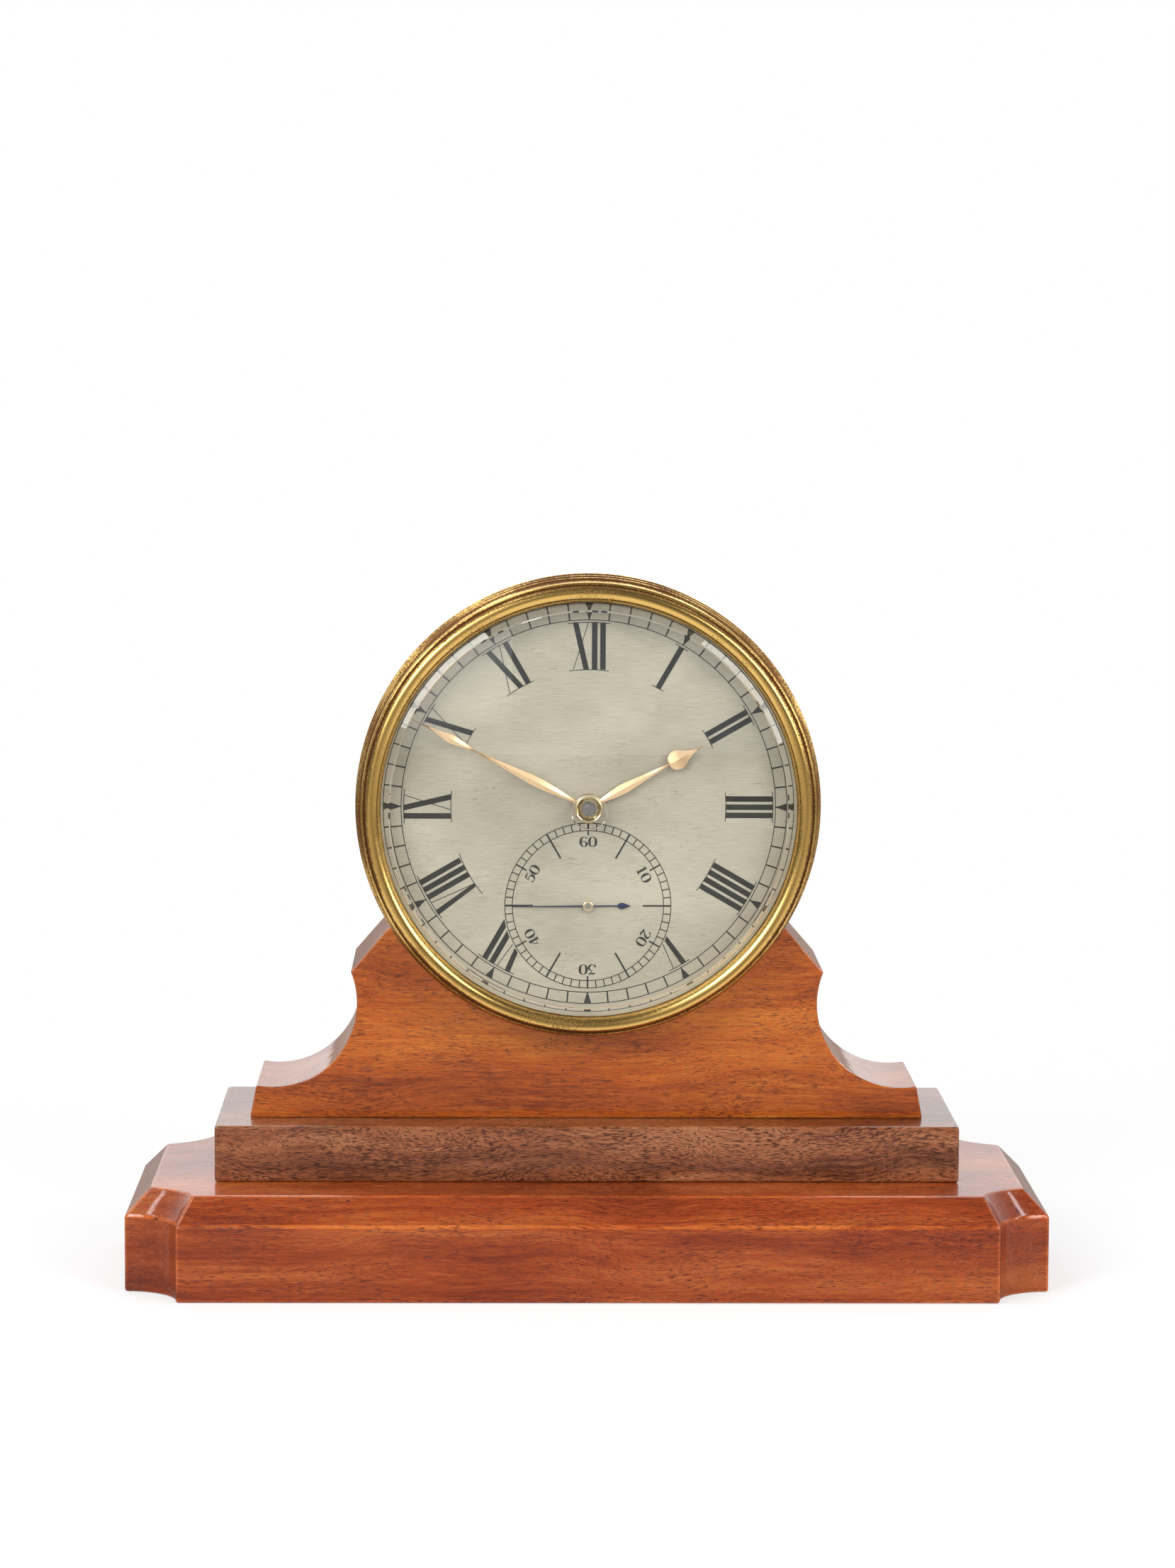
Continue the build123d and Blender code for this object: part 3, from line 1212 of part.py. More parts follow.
def balance_staff():
    """The balance staff with its impulse and discharging rollers."""
    wheel_middle = ESCAPE_WHEEL_Z - ESCAPE_THICKNESS / 2
    impulse_low = wheel_middle - ROLLER_THICKNESS / 2
    impulse_high = wheel_middle + ROLLER_THICKNESS / 2
    discharge_low = impulse_low - 2 * ROLLER_THICKNESS
    cock_under = BACK_PLATE_BACK - COCK_HEIGHT
    steps = [
        cock_under - COCK_THICKNESS + END_SHAKE,
        (STAFF_PIVOT_RADIUS, cock_under + END_SHAKE),
        (STAFF_RADIUS, discharge_low),
        (DISCHARGE_ROLLER_RADIUS, discharge_low + ROLLER_THICKNESS),
        (STAFF_RADIUS, impulse_low),
        (IMPULSE_ROLLER_RADIUS, impulse_high),
        (STAFF_RADIUS, potence_back() - END_SHAKE),
        (STAFF_PIVOT_RADIUS, potence_back() + POTENCE_THICKNESS - END_SHAKE),
    ]
    return shaft(steps, STAFF)


def potence_back():
    """The height of the potence arm's back face, in front of the impulse roller."""
    return ESCAPE_WHEEL_Z + 1.0


def balance_potence():
    """The bracket inside the back plate that holds the staff's front pivot."""
    away = bearing(ESCAPE, STAFF)
    foot = polar(POTENCE_REACH, away, STAFF)
    middle = polar(POTENCE_REACH / 2, away, STAFF)
    low = potence_back()
    high = low + POTENCE_THICKNESS
    arm = block(POTENCE_REACH, POTENCE_WIDTH, low, high, middle, away)
    arm += disc(POTENCE_WIDTH / 2, low, high, STAFF)
    arm += block(POTENCE_WIDTH, POTENCE_WIDTH, BACK_PLATE_FRONT, high, foot, away)
    return arm - disc(STAFF_PIVOT_RADIUS + RUNNING_CLEARANCE, low - 1, high + 1, STAFF)


def cock_foot():
    """The middle of the balance cock's foot."""
    clear = BALANCE_RADIUS + WEIGHT_THICKNESS + COCK_CLEARANCE + COCK_FOOT_LENGTH / 2
    return (STAFF[0] + clear, STAFF[1])


def balance_cock():
    """The cock over the balance, on one foot."""
    foot = cock_foot()
    under = BACK_PLATE_BACK - COCK_HEIGHT
    top = under - COCK_THICKNESS
    body = block(COCK_FOOT_LENGTH, COCK_WIDTH, top, BACK_PLATE_BACK, foot)
    length = foot[0] - STAFF[0]
    middle = ((foot[0] + STAFF[0]) / 2, STAFF[1])
    body += block(length, COCK_WIDTH, top, under, middle)
    body += disc(COCK_WIDTH / 2, top, under, STAFF)
    body -= disc(STAFF_PIVOT_RADIUS + RUNNING_CLEARANCE, top - 1, under + 1, STAFF)
    return body - disc(PLATE_SCREW_RADIUS + SEAT_CLEARANCE, top - 1, BACK_PLATE_BACK + 1, foot)


def cock_screw():
    """The screw that holds the balance cock."""
    top = BACK_PLATE_BACK - COCK_HEIGHT - COCK_THICKNESS
    bite = BACK_PLATE_FRONT - top - END_SHAKE
    return plate_screw(cock_foot(), top, bite)


def spring_bottom():
    """The back end of the helical balance spring."""
    return BACK_PLATE_BACK - COCK_HEIGHT + SPRING_WIRE + 2 * END_SHAKE


def balance_spring():
    """The helical balance spring."""
    height = SPRING_TURNS * SPRING_PITCH
    path = Helix(SPRING_PITCH, height, SPRING_RADIUS)
    section = Plane(origin=path @ 0, z_dir=path % 0) * Rectangle(SPRING_WIRE, SPRING_WIRE)
    coil = sweep(section, path, is_frenet=True)
    return Pos(STAFF[0], STAFF[1], spring_bottom()) * coil


def spring_stud():
    """The stud under the cock that holds the balance spring's outer end."""
    place = (STAFF[0] + SPRING_RADIUS, STAFF[1])
    low = BACK_PLATE_BACK - COCK_HEIGHT
    return block(4 * SPRING_WIRE, 4 * SPRING_WIRE, low, low + SPRING_WIRE, place)


def detent_line():
    """The horn, locking point and pivot of the detent."""
    angle = BALANCE_DIRECTION + LOCKING_ANGLE
    lock = polar(ESCAPE_RADIUS + LOCKING_CLEARANCE + DETENT_WIDTH / 2, angle, ESCAPE)
    horn = polar(DISCHARGE_ROLLER_RADIUS + LOCKING_CLEARANCE + DETENT_WIDTH, angle + 20, STAFF)
    pivot = polar(DETENT_TAIL, bearing(horn, lock), lock)
    return horn, lock, pivot


def detent():
    """The spring detent: blade, horn and locking stone."""
    horn, lock, pivot = detent_line()
    high = ESCAPE_WHEEL_Z - ESCAPE_THICKNESS - LOCKING_CLEARANCE
    low = high - DETENT_THICKNESS
    middle = ((horn[0] + pivot[0]) / 2, (horn[1] + pivot[1]) / 2)
    blade = block(math.dist(horn, pivot), DETENT_WIDTH, low, high, middle, bearing(horn, pivot))
    return blade + disc(DETENT_WIDTH / 2, low, ESCAPE_WHEEL_Z, lock)


def detent_foot():
    """The foot on the back plate that carries the detent's spring."""
    horn, _, pivot = detent_line()
    turn = bearing(horn, pivot)
    place = polar(DETENT_FOOT / 2 + END_SHAKE, turn, pivot)
    return block(DETENT_FOOT, DETENT_FOOT, BACK_PLATE_FRONT, ESCAPE_WHEEL_Z, place, turn)


def shutter_pivot():
    """The place of the dust shutter's screw."""
    return polar(SHUTTER_ARM, SHUTTER_DIRECTION, FUSEE)


def dust_shutter():
    """The shutter over the winding hole, with a knob to push it aside."""
    high = DRUM_BACK_Z - SHUTTER_GAP
    low = high - SHUTTER_THICKNESS
    cover = WINDING_HOLE_RADIUS + SHUTTER_OVERLAP
    pivot = shutter_pivot()
    middle = ((FUSEE[0] + pivot[0]) / 2, (FUSEE[1] + pivot[1]) / 2)
    eye = SHUTTER_SCREW_HEAD_RADIUS + 0.6
    plate = disc(cover, low, high, FUSEE) + disc(eye, low, high, pivot)
    plate += block(SHUTTER_ARM, 1.8 * eye, low, high, middle, SHUTTER_DIRECTION)
    plate -= disc(SHUTTER_SCREW_RADIUS + RUNNING_CLEARANCE, low - 1, high + 1, pivot)
    knob_place = polar(0.55 * cover, SHUTTER_DIRECTION + 180, FUSEE)
    return plate + disc(SHUTTER_KNOB_RADIUS, low - SHUTTER_KNOB_HEIGHT, low, knob_place)


def shutter_screw():
    """The shouldered screw that the shutter turns on."""
    head_front = DRUM_BACK_Z - SHUTTER_GAP - SHUTTER_THICKNESS - SHUTTER_SPRING_HEIGHT - SHUTTER_GAP
    steps = [
        head_front - SHUTTER_SCREW_HEAD_HEIGHT,
        (SHUTTER_SCREW_HEAD_RADIUS, head_front),
        (SHUTTER_SCREW_RADIUS, DRUM_BACK_Z + DRUM_BACK_WALL),
    ]
    return shaft(steps, shutter_pivot())


def shutter_spring():
    """The coiled spring under the screw's head that swings the shutter shut."""
    high = DRUM_BACK_Z - SHUTTER_GAP - SHUTTER_THICKNESS - SHUTTER_GAP / 2
    low = high - SHUTTER_SPRING_HEIGHT
    inner = SHUTTER_SCREW_RADIUS + 2 * RUNNING_CLEARANCE
    return washer(SHUTTER_SCREW_HEAD_RADIUS - 0.3, inner, low, high, shutter_pivot())


STAND_PIECES = (base_block, plinth, bracket, stand_screws)
CLOCK_PIECES = (
    drum,
    drum_screws,
    bezel,
    glass,
    dial,
    dial_feet,
    dial_pins,
    front_plate,
    back_plate,
    pillars,
    plate_screws,
    centre_arbor,
    centre_wheel,
    third_arbor,
    third_wheel,
    fourth_arbor,
    fourth_wheel,
    escape_arbor,
    escape_wheel,
    great_wheel,
    fusee_cone,
    fusee_arbor,
    fusee_chain,
    barrel,
    barrel_cover,
    barrel_arbor,
    mainspring,
    setup_ratchet,
    ratchet_click,
    click_screw,
    cannon_pinion,
    minute_wheel,
    minute_wheel_stud,
    hour_wheel,
    minute_hand,
    hour_hand,
    hand_hub,
    seconds_hand,
    seconds_hand_boss,
    balance_wheel,
    balance_weights,
    balance_staff,
    balance_potence,
    balance_cock,
    cock_screw,
    balance_spring,
    spring_stud,
    detent,
    detent_foot,
    dust_shutter,
    shutter_screw,
    shutter_spring,
)

os.makedirs("parts", exist_ok=True)
for piece in STAND_PIECES:
    export_step(piece(), f"parts/{piece.__name__}.step")
for piece in CLOCK_PIECES:
    export_step(CLOCK_FRAME * piece(), f"parts/{piece.__name__}.step")
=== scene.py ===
import logging
import math
from dataclasses import dataclass
from enum import Enum

import bmesh
import bpy
from mathutils import Euler, Matrix, Vector


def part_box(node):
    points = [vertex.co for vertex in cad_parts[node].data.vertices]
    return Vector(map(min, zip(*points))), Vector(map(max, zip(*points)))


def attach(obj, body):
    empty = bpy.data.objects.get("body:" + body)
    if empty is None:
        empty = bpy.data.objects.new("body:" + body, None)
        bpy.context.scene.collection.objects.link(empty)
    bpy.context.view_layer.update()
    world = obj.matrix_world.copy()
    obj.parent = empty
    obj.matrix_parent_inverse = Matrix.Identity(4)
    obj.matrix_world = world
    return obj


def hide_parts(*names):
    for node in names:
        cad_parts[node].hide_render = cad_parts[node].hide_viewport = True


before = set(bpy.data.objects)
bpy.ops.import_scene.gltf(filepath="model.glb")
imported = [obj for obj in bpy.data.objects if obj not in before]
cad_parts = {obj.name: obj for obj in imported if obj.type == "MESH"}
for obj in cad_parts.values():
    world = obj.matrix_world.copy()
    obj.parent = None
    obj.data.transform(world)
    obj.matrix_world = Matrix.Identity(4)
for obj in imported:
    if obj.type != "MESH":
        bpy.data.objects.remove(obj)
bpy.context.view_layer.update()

MM = 0.001  # metres
IMAGE_HEIGHT = 2212  # pixels, of the photo that the camera was fitted to
LOG = logging.getLogger("chronometer")

Point = tuple[float, float]
Colour = tuple[float, float, float, float]


def linear(hex_colour: str) -> Colour:
    """Turns an sRGB hex colour to the linear colour that shaders take.

    Args:
        hex_colour: Six hex digits after a number sign.

    Returns:
        Red, green, blue and an alpha of 1.
    """
    values = [int(hex_colour[i : i + 2], 16) / 255 for i in (1, 3, 5)]
    turned = [v / 12.92 if v <= 0.04045 else ((v + 0.055) / 1.055) ** 2.4 for v in values]
    return (turned[0], turned[1], turned[2], 1.0)


def polar(radius: float, degrees: float, centre: Point = (0.0, 0.0)) -> Point:
    """Finds a point at a radius and an angle.

    Args:
        radius: Distance from the centre.
        degrees: Angle from the first axis, anticlockwise.
        centre: The centre.

    Returns:
        The point.
    """
    turn = math.radians(degrees)
    return (centre[0] + radius * math.cos(turn), centre[1] + radius * math.sin(turn))


def clock_point(along: float, out: float, hour_angle: float) -> Point:
    """Turns a place on a radial piece of artwork to dial coordinates.

    Args:
        along: Distance to the right of the radius, seen with the rim on top.
        out: Distance from the centre.
        hour_angle: Clock angle of the radius, in degrees clockwise from twelve.

    Returns:
        The point on the dial, x to the right and y up.
    """
    turn = math.radians(hour_angle)
    return (
        out * math.sin(turn) + along * math.cos(turn),
        out * math.cos(turn) - along * math.sin(turn),
    )


def spline(points: list[tuple[float, ...]], steps: int) -> list[tuple[float, ...]]:
    """Runs a smooth curve through points of any number of values.

    Args:
        points: The points that the curve passes.
        steps: Points to give for each run between two of them.

    Returns:
        The curve's points, the first and last included.
    """
    ends = [points[0]] + list(points) + [points[-1]]
    curve = []
    for index in range(1, len(ends) - 2):
        before, start, end, after = ends[index - 1 : index + 3]
        for step in range(steps):
            t = step / steps
            curve.append(
                tuple(
                    0.5 * (2 * b + (c - a) * t + (2 * a - 5 * b + 4 * c - d) * t**2
                           + (3 * b - a - 3 * c + d) * t**3)
                    for a, b, c, d in zip(before, start, end, after)
                )
            )
    curve.append(tuple(points[-1]))
    return curve


def rounded(profile: list[tuple[float, float, float]], steps: int = 5) -> list[Point]:
    """Rounds a profile's corners.

    Args:
        profile: Corners as two coordinates and a rounding radius.
        steps: Points for each rounding.

    Returns:
        The rounded profile.
    """
    count = len(profile)
    result: list[Point] = []
    for index, (x, y, radius) in enumerate(profile):
        here = Vector((x, y))
        before = Vector(profile[index - 1][:2]) - here
        after = Vector(profile[(index + 1) % count][:2]) - here
        reach = min(radius, before.length * 0.48, after.length * 0.48)
        if reach < 1e-4:
            result.append((x, y))
            continue
        start, end = here + before.normalized() * reach, here + after.normalized() * reach
        for step in range(steps + 1):
            t = step / steps
            spot = start * (1 - t) ** 2 + here * 2 * t * (1 - t) + end * t**2
            result.append((spot.x, spot.y))
    return result


class Place(Enum):
    """The frame that a shape's millimetres are drawn in."""

    STAND = "stand"
    CLOCK = "clock"


DIAL_LOW, DIAL_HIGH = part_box("dial")
DIAL_Y = DIAL_LOW.y
AXIS_Z = (DIAL_LOW.z + DIAL_HIGH.z) / 2
PLACES = {
    Place.STAND: Matrix.Scale(MM, 4),
    Place.CLOCK: Matrix(((MM, 0, 0, 0), (0, 0, -MM, DIAL_Y), (0, MM, 0, AXIS_Z), (0, 0, 0, 1))),
}


def node_centre(node: str) -> Point:
    """Finds where a CAD node lies on the dial, in millimetres.

    Args:
        node: The node's name.

    Returns:
        The middle of its box, x to the right and y up.
    """
    low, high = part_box(node)
    return ((low.x + high.x) / 2 / MM, ((low.z + high.z) / 2 - AXIS_Z) / MM)


class Tree:
    """A node tree under construction."""

    def __init__(self, tree: bpy.types.NodeTree) -> None:
        """Starts on an empty tree.

        Args:
            tree: The tree to fill.
        """
        self.tree = tree
        tree.nodes.clear()

    def add(self, kind: str, inputs: dict | None = None, **settings) -> bpy.types.Node:
        """Adds a node with its settings and links.

        Args:
            kind: The node's type.
            inputs: Values or sockets by the input's identifier, name or number.
            **settings: The node's own properties; stops fills a colour ramp.

        Returns:
            The new node.
        """
        node = self.tree.nodes.new(kind)
        stops = settings.pop("stops", None)
        for key, value in settings.items():
            setattr(node, key, value)
        if stops:
            ramp = node.color_ramp.elements
            while len(ramp) < len(stops):
                ramp.new(1.0)
            for element, (position, colour) in zip(ramp, stops):
                element.position = position
                element.color = linear(colour)
        for key, value in (inputs or {}).items():
            if isinstance(key, int):
                socket = node.inputs[key]
            else:
                named = [s for s in node.inputs if s.identifier == key]
                socket = (named or [s for s in node.inputs if s.name == key])[0]
            if isinstance(value, bpy.types.NodeSocket):
                self.tree.links.new(value, socket)
            else:
                socket.default_value = value
        return node

    def mix(
        self, factor: bpy.types.NodeSocket, first: Colour | bpy.types.NodeSocket,
        second: Colour | bpy.types.NodeSocket,
    ) -> bpy.types.NodeSocket:
        """Mixes two colours.

        Args:
            factor: The second colour's share.
            first: The first colour.
            second: The second colour.

        Returns:
            The mixture.
        """
        node = self.add(
            "ShaderNodeMix",
            {"Factor_Float": factor, "A_Color": first, "B_Color": second}, data_type="RGBA")
        return node.outputs[2]


@dataclass(frozen=True)
class Finish:
    """A surface: what it is made of and how it was made."""

    name: str

    def material(self) -> bpy.types.Material:
        """Makes the finish's material, or finds it where it is made already.

        Returns:
            The material.
        """
        found = bpy.data.materials.get(self.name)
        if found:
            return found
        made = bpy.data.materials.new(self.name)
        made.use_nodes = True
        tree = Tree(made.node_tree)
        shader = self.shade(tree)
        tree.add("ShaderNodeOutputMaterial", {"Surface": shader})
        return made

    def shade(self, tree: Tree) -> bpy.types.NodeSocket:
        """Builds the shader.

        Args:
            tree: The material's tree.

        Returns:
            The shader's output.
        """
        raise NotImplementedError

    def pattern(
        self, tree: Tree, size: tuple[float, float, float], detail: float = 2.0,
        rough: float = 0.5, shift: float = 0.0, place: bpy.types.NodeSocket | None = None,
    ) -> bpy.types.NodeSocket:
        """Adds a noise pattern of a real size.

        Args:
            tree: The material's tree.
            size: The pattern's usual size along X, Y and Z, in millimetres.
            detail: Octaves of finer detail.
            rough: Strength of the finer detail.
            shift: Moves the pattern so that two aren't alike.
            place: Bent coordinates, or none for plain ones.

        Returns:
            The noise's value, about 0.5 on average.
        """
        place = place or tree.add("ShaderNodeTexCoord").outputs["Object"]
        scale = tuple(1 / (each * MM) for each in size)
        moved = tree.add(
            "ShaderNodeMapping", {"Vector": place, "Scale": scale,
                                  "Location": (shift, shift * 0.7, shift * 1.3)})
        noise = tree.add(
            "ShaderNodeTexNoise",
            {"Vector": moved.outputs[0], "Scale": 1.0, "Detail": detail, "Roughness": rough})
        return noise.outputs["Fac"]


@dataclass(frozen=True)
class FrenchPolishedMahogany(Finish):
    """Mahogany sawn with the grain along X, stained and French polished.

    The shellac gives a clear gloss over a satin wood, and the open pores show through it as
    short dark dashes. Worn arrises are thin in polish and pale.
    """

    deep: str = "#611f0b"
    middle: str = "#a2471b"
    pale: str = "#ca6f33"
    arris: str = "#cf7a35"
    pore: str = "#3a140b"
    streak_mm: float = 9.0
    bend_mm: float = 2.0
    pore_length_mm: float = 2.0
    pore_width_mm: float = 0.16
    pore_level: float = 0.59
    pore_strength: float = 0.8
    dent_level: float = 0.655
    arris_share: float = 0.25
    shift: float = 0.0

    def bent(self, tree: Tree) -> bpy.types.NodeSocket:
        """Gives coordinates in which straight grain lines bend gently.

        Args:
            tree: The material's tree.

        Returns:
            The bent coordinates.
        """
        place = tree.add("ShaderNodeTexCoord").outputs["Object"]
        bend = self.pattern(tree, (34, 34, 18), 1, 0.5, self.shift + 3)
        lift = tree.add(
            "ShaderNodeMapRange",
            {"Value": bend, "From Min": 0.2, "From Max": 0.8, "To Min": -self.bend_mm * MM,
             "To Max": self.bend_mm * MM}, clamp=False)
        step = tree.add("ShaderNodeCombineXYZ", {"Y": lift.outputs[0], "Z": lift.outputs[0]})
        moved = tree.add("ShaderNodeVectorMath", {0: place, 1: step.outputs[0]})
        return moved.outputs[0]

    def wood(self, tree: Tree) -> bpy.types.NodeSocket:
        """Mixes the wood's growth bands, grain lines and fibres.

        Args:
            tree: The material's tree.

        Returns:
            The plain wood's colour.
        """
        bent = self.bent(tree)
        broad = self.pattern(tree, (75, 40, self.streak_mm), 3, 0.55, self.shift, bent)
        lines = self.pattern(tree, (30, 1.1, 0.8), 3, 0.6, self.shift + 5, bent)
        fine = self.pattern(tree, (5, 0.34, 0.26), 2, 0.6, self.shift + 9, bent)
        mixed = tree.add(
            "ShaderNodeMath", {0: lines, 1: 0.45, 2: broad}, operation="MULTIPLY_ADD")
        mixed = tree.add(
            "ShaderNodeMath", {0: fine, 1: 0.5, 2: mixed.outputs[0]}, operation="MULTIPLY_ADD")
        spread = tree.add(
            "ShaderNodeMapRange",
            {"Value": mixed.outputs[0], "From Min": 0.72, "From Max": 1.22})
        return tree.add(
            "ShaderNodeValToRGB", {"Fac": spread.outputs[0]},
            stops=[(0.0, self.deep), (0.5, self.middle), (1.0, self.pale)]).outputs[0]

    def pores(self, tree: Tree) -> bpy.types.NodeSocket:
        """Draws the open pores, thicker in some bands than in others.

        Args:
            tree: The material's tree.

        Returns:
            The pores, 1 inside them.
        """
        bent = self.bent(tree)
        width = self.pore_width_mm
        fine = self.pattern(
            tree, (self.pore_length_mm, width, width), 1, 0.4, self.shift + 17, bent)
        gate = self.pattern(tree, (22, 14, 7), 2, 0.5, self.shift + 31, bent)
        both = tree.add("ShaderNodeMath", {0: gate, 1: 0.35, 2: fine}, operation="MULTIPLY_ADD")
        level = self.pore_level + 0.175
        return tree.add(
            "ShaderNodeMapRange",
            {"Value": both.outputs[0], "From Min": level, "From Max": level + 0.07,
             "To Max": self.pore_strength}).outputs[0]

    def worn(self, tree: Tree) -> bpy.types.NodeSocket:
        """Draws the pale wear, which is on the arrises and uneven along them.

        Args:
            tree: The material's tree.

        Returns:
            The wear's share of the colour.
        """
        chips = self.pattern(tree, (7, 7, 5), 4, 0.65, self.shift + 43)
        arris = tree.add("ShaderNodeAttribute", attribute_name="arris")
        wear = tree.add(
            "ShaderNodeMapRange",
            {"Value": chips, "From Min": 0.46, "From Max": 0.66, "To Max": self.arris_share})
        return tree.add(
            "ShaderNodeMath", {0: arris.outputs["Fac"], 1: wear.outputs[0]},
            operation="MULTIPLY").outputs[0]

    def shade(self, tree: Tree) -> bpy.types.NodeSocket:
        """Builds the polished wood.

        Args:
            tree: The material's tree.

        Returns:
            The shader's output.
        """
        pores = self.pores(tree)
        colour = tree.mix(pores, self.wood(tree), linear(self.pore))
        colour = tree.mix(self.worn(tree), colour, linear(self.arris))
        # Painted shade: where the shape marks it, in the base's corner hollows, the colour is
        # darkened towards the deep wood colour.
        grime = tree.add("ShaderNodeAttribute", attribute_name="grime")
        colour = tree.mix(grime.outputs["Fac"], colour, linear(self.deep))
        dents = self.pattern(tree, (3.4, 3.4, 1.3), 5, 0.7, self.shift + 71)
        dents = tree.add(
            "ShaderNodeMapRange",
            {"Value": dents, "From Min": self.dent_level, "From Max": self.dent_level + 0.035,
             "To Max": 0.85})
        colour = tree.mix(dents.outputs[0], colour, linear(self.pore))
        hollows = tree.add(
            "ShaderNodeMath", {0: pores, 1: dents.outputs[0]}, operation="MAXIMUM")
        hollow = tree.add(
            "ShaderNodeBump",
            {"Height": hollows.outputs[0], "Strength": 0.3, "Distance": 0.00008}, invert=True)
        waves = self.pattern(tree, (8, 8, 5), 2, 0.5, self.shift + 57)
        ripple = tree.add(
            "ShaderNodeBump", {"Height": waves, "Strength": 0.2, "Distance": 0.0005,
                               "Normal": hollow.outputs[0]})
        body = tree.add(
            "ShaderNodeBsdfPrincipled",
            {"Base Color": colour, "Roughness": 0.5, "IOR": 1.5, "Specular IOR Level": 0.03,
             "Normal": hollow.outputs[0], "Coat Weight": 1.0, "Coat Roughness": 0.1,
             "Coat IOR": 1.5, "Coat Normal": ripple.outputs[0]})
        return body.outputs[0]


@dataclass(frozen=True)
class Metal(Finish):
    """A metal with a tarnish in its hollows and fine turned or brushed lines.

    The colour is the metal's own reflection. The lines are drawn about twice as coarse as the
    real ones, which are too fine to show.
    """

    colour: str = "#d0a95c"
    tarnish: str = "#6d4a22"
    tarnish_level: float = 0.62
    spot_mm: float = 0.8
    roughness: float = 0.25
    line_mm: float = 0.25
    line_depth: float = 0.08

    def shade(self, tree: Tree) -> bpy.types.NodeSocket:
        """Builds the metal.

        Args:
            tree: The material's tree.

        Returns:
            The shader's output.
        """
        spots = self.pattern(tree, (self.spot_mm,) * 3, 4, 0.6)
        cloud = self.pattern(tree, (14, 14, 14), 3, 0.5, 3.0)
        recess = tree.add("ShaderNodeAttribute", attribute_name="recess")
        mixed = tree.add("ShaderNodeMath", {0: cloud, 1: 0.8, 2: spots},
                         operation="MULTIPLY_ADD")
        mixed = tree.add(
            "ShaderNodeMath", {0: recess.outputs["Fac"], 1: 0.5, 2: mixed.outputs[0]},
            operation="MULTIPLY_ADD")
        amount = tree.add(
            "ShaderNodeMapRange",
            {"Value": mixed.outputs[0], "From Min": self.tarnish_level + 0.42,
             "From Max": self.tarnish_level + 0.66, "To Max": 0.9})
        colour = tree.mix(amount.outputs[0], linear(self.colour), linear(self.tarnish))
        rough = tree.add(
            "ShaderNodeMapRange",
            {"Value": amount.outputs[0], "To Min": self.roughness, "To Max": 0.6})
        lines = self.lines(tree)
        bump = tree.add(
            "ShaderNodeBump",
            {"Height": lines, "Strength": self.line_depth, "Distance": 0.00005})
        metal = tree.add(
            "ShaderNodeBsdfPrincipled",
            {"Base Color": colour, "Metallic": 1.0,
             "Roughness": rough.outputs[0], "Normal": bump.outputs[0]})
        return metal.outputs[0]

    def lines(self, tree: Tree) -> bpy.types.NodeSocket:
        """Adds fine lines in no one direction."""
        return self.pattern(tree, (self.line_mm,) * 3, 1)


@dataclass(frozen=True)
class TurnedMetal(Metal):
    """A metal turned on the lathe round the dial's axis, with fine rings from the tool."""

    def lines(self, tree: Tree) -> bpy.types.NodeSocket:
        """Adds rings round the dial's axis.

        Args:
            tree: The material's tree.

        Returns:
            The lines' height.
        """
        place = tree.add("ShaderNodeTexCoord").outputs["Object"]
        centred = tree.add(
            "ShaderNodeMapping", {"Vector": place, "Location": (0, 0, -AXIS_Z)})
        parts = tree.add("ShaderNodeSeparateXYZ", {0: centred.outputs[0]})
        flat = tree.add(
            "ShaderNodeCombineXYZ", {"X": parts.outputs["X"], "Z": parts.outputs["Z"]})
        radius = tree.add(
            "ShaderNodeVectorMath", {0: flat.outputs[0]}, operation="LENGTH")
        depth = tree.add(
            "ShaderNodeMath", {0: parts.outputs["Y"], 1: 1.7, 2: radius.outputs["Value"]},
            operation="MULTIPLY_ADD")
        noise = tree.add(
            "ShaderNodeTexNoise",
            {"W": depth.outputs[0], "Scale": 1 / (self.line_mm * MM), "Detail": 2.0},
            noise_dimensions="1D")
        return noise.outputs["Fac"]


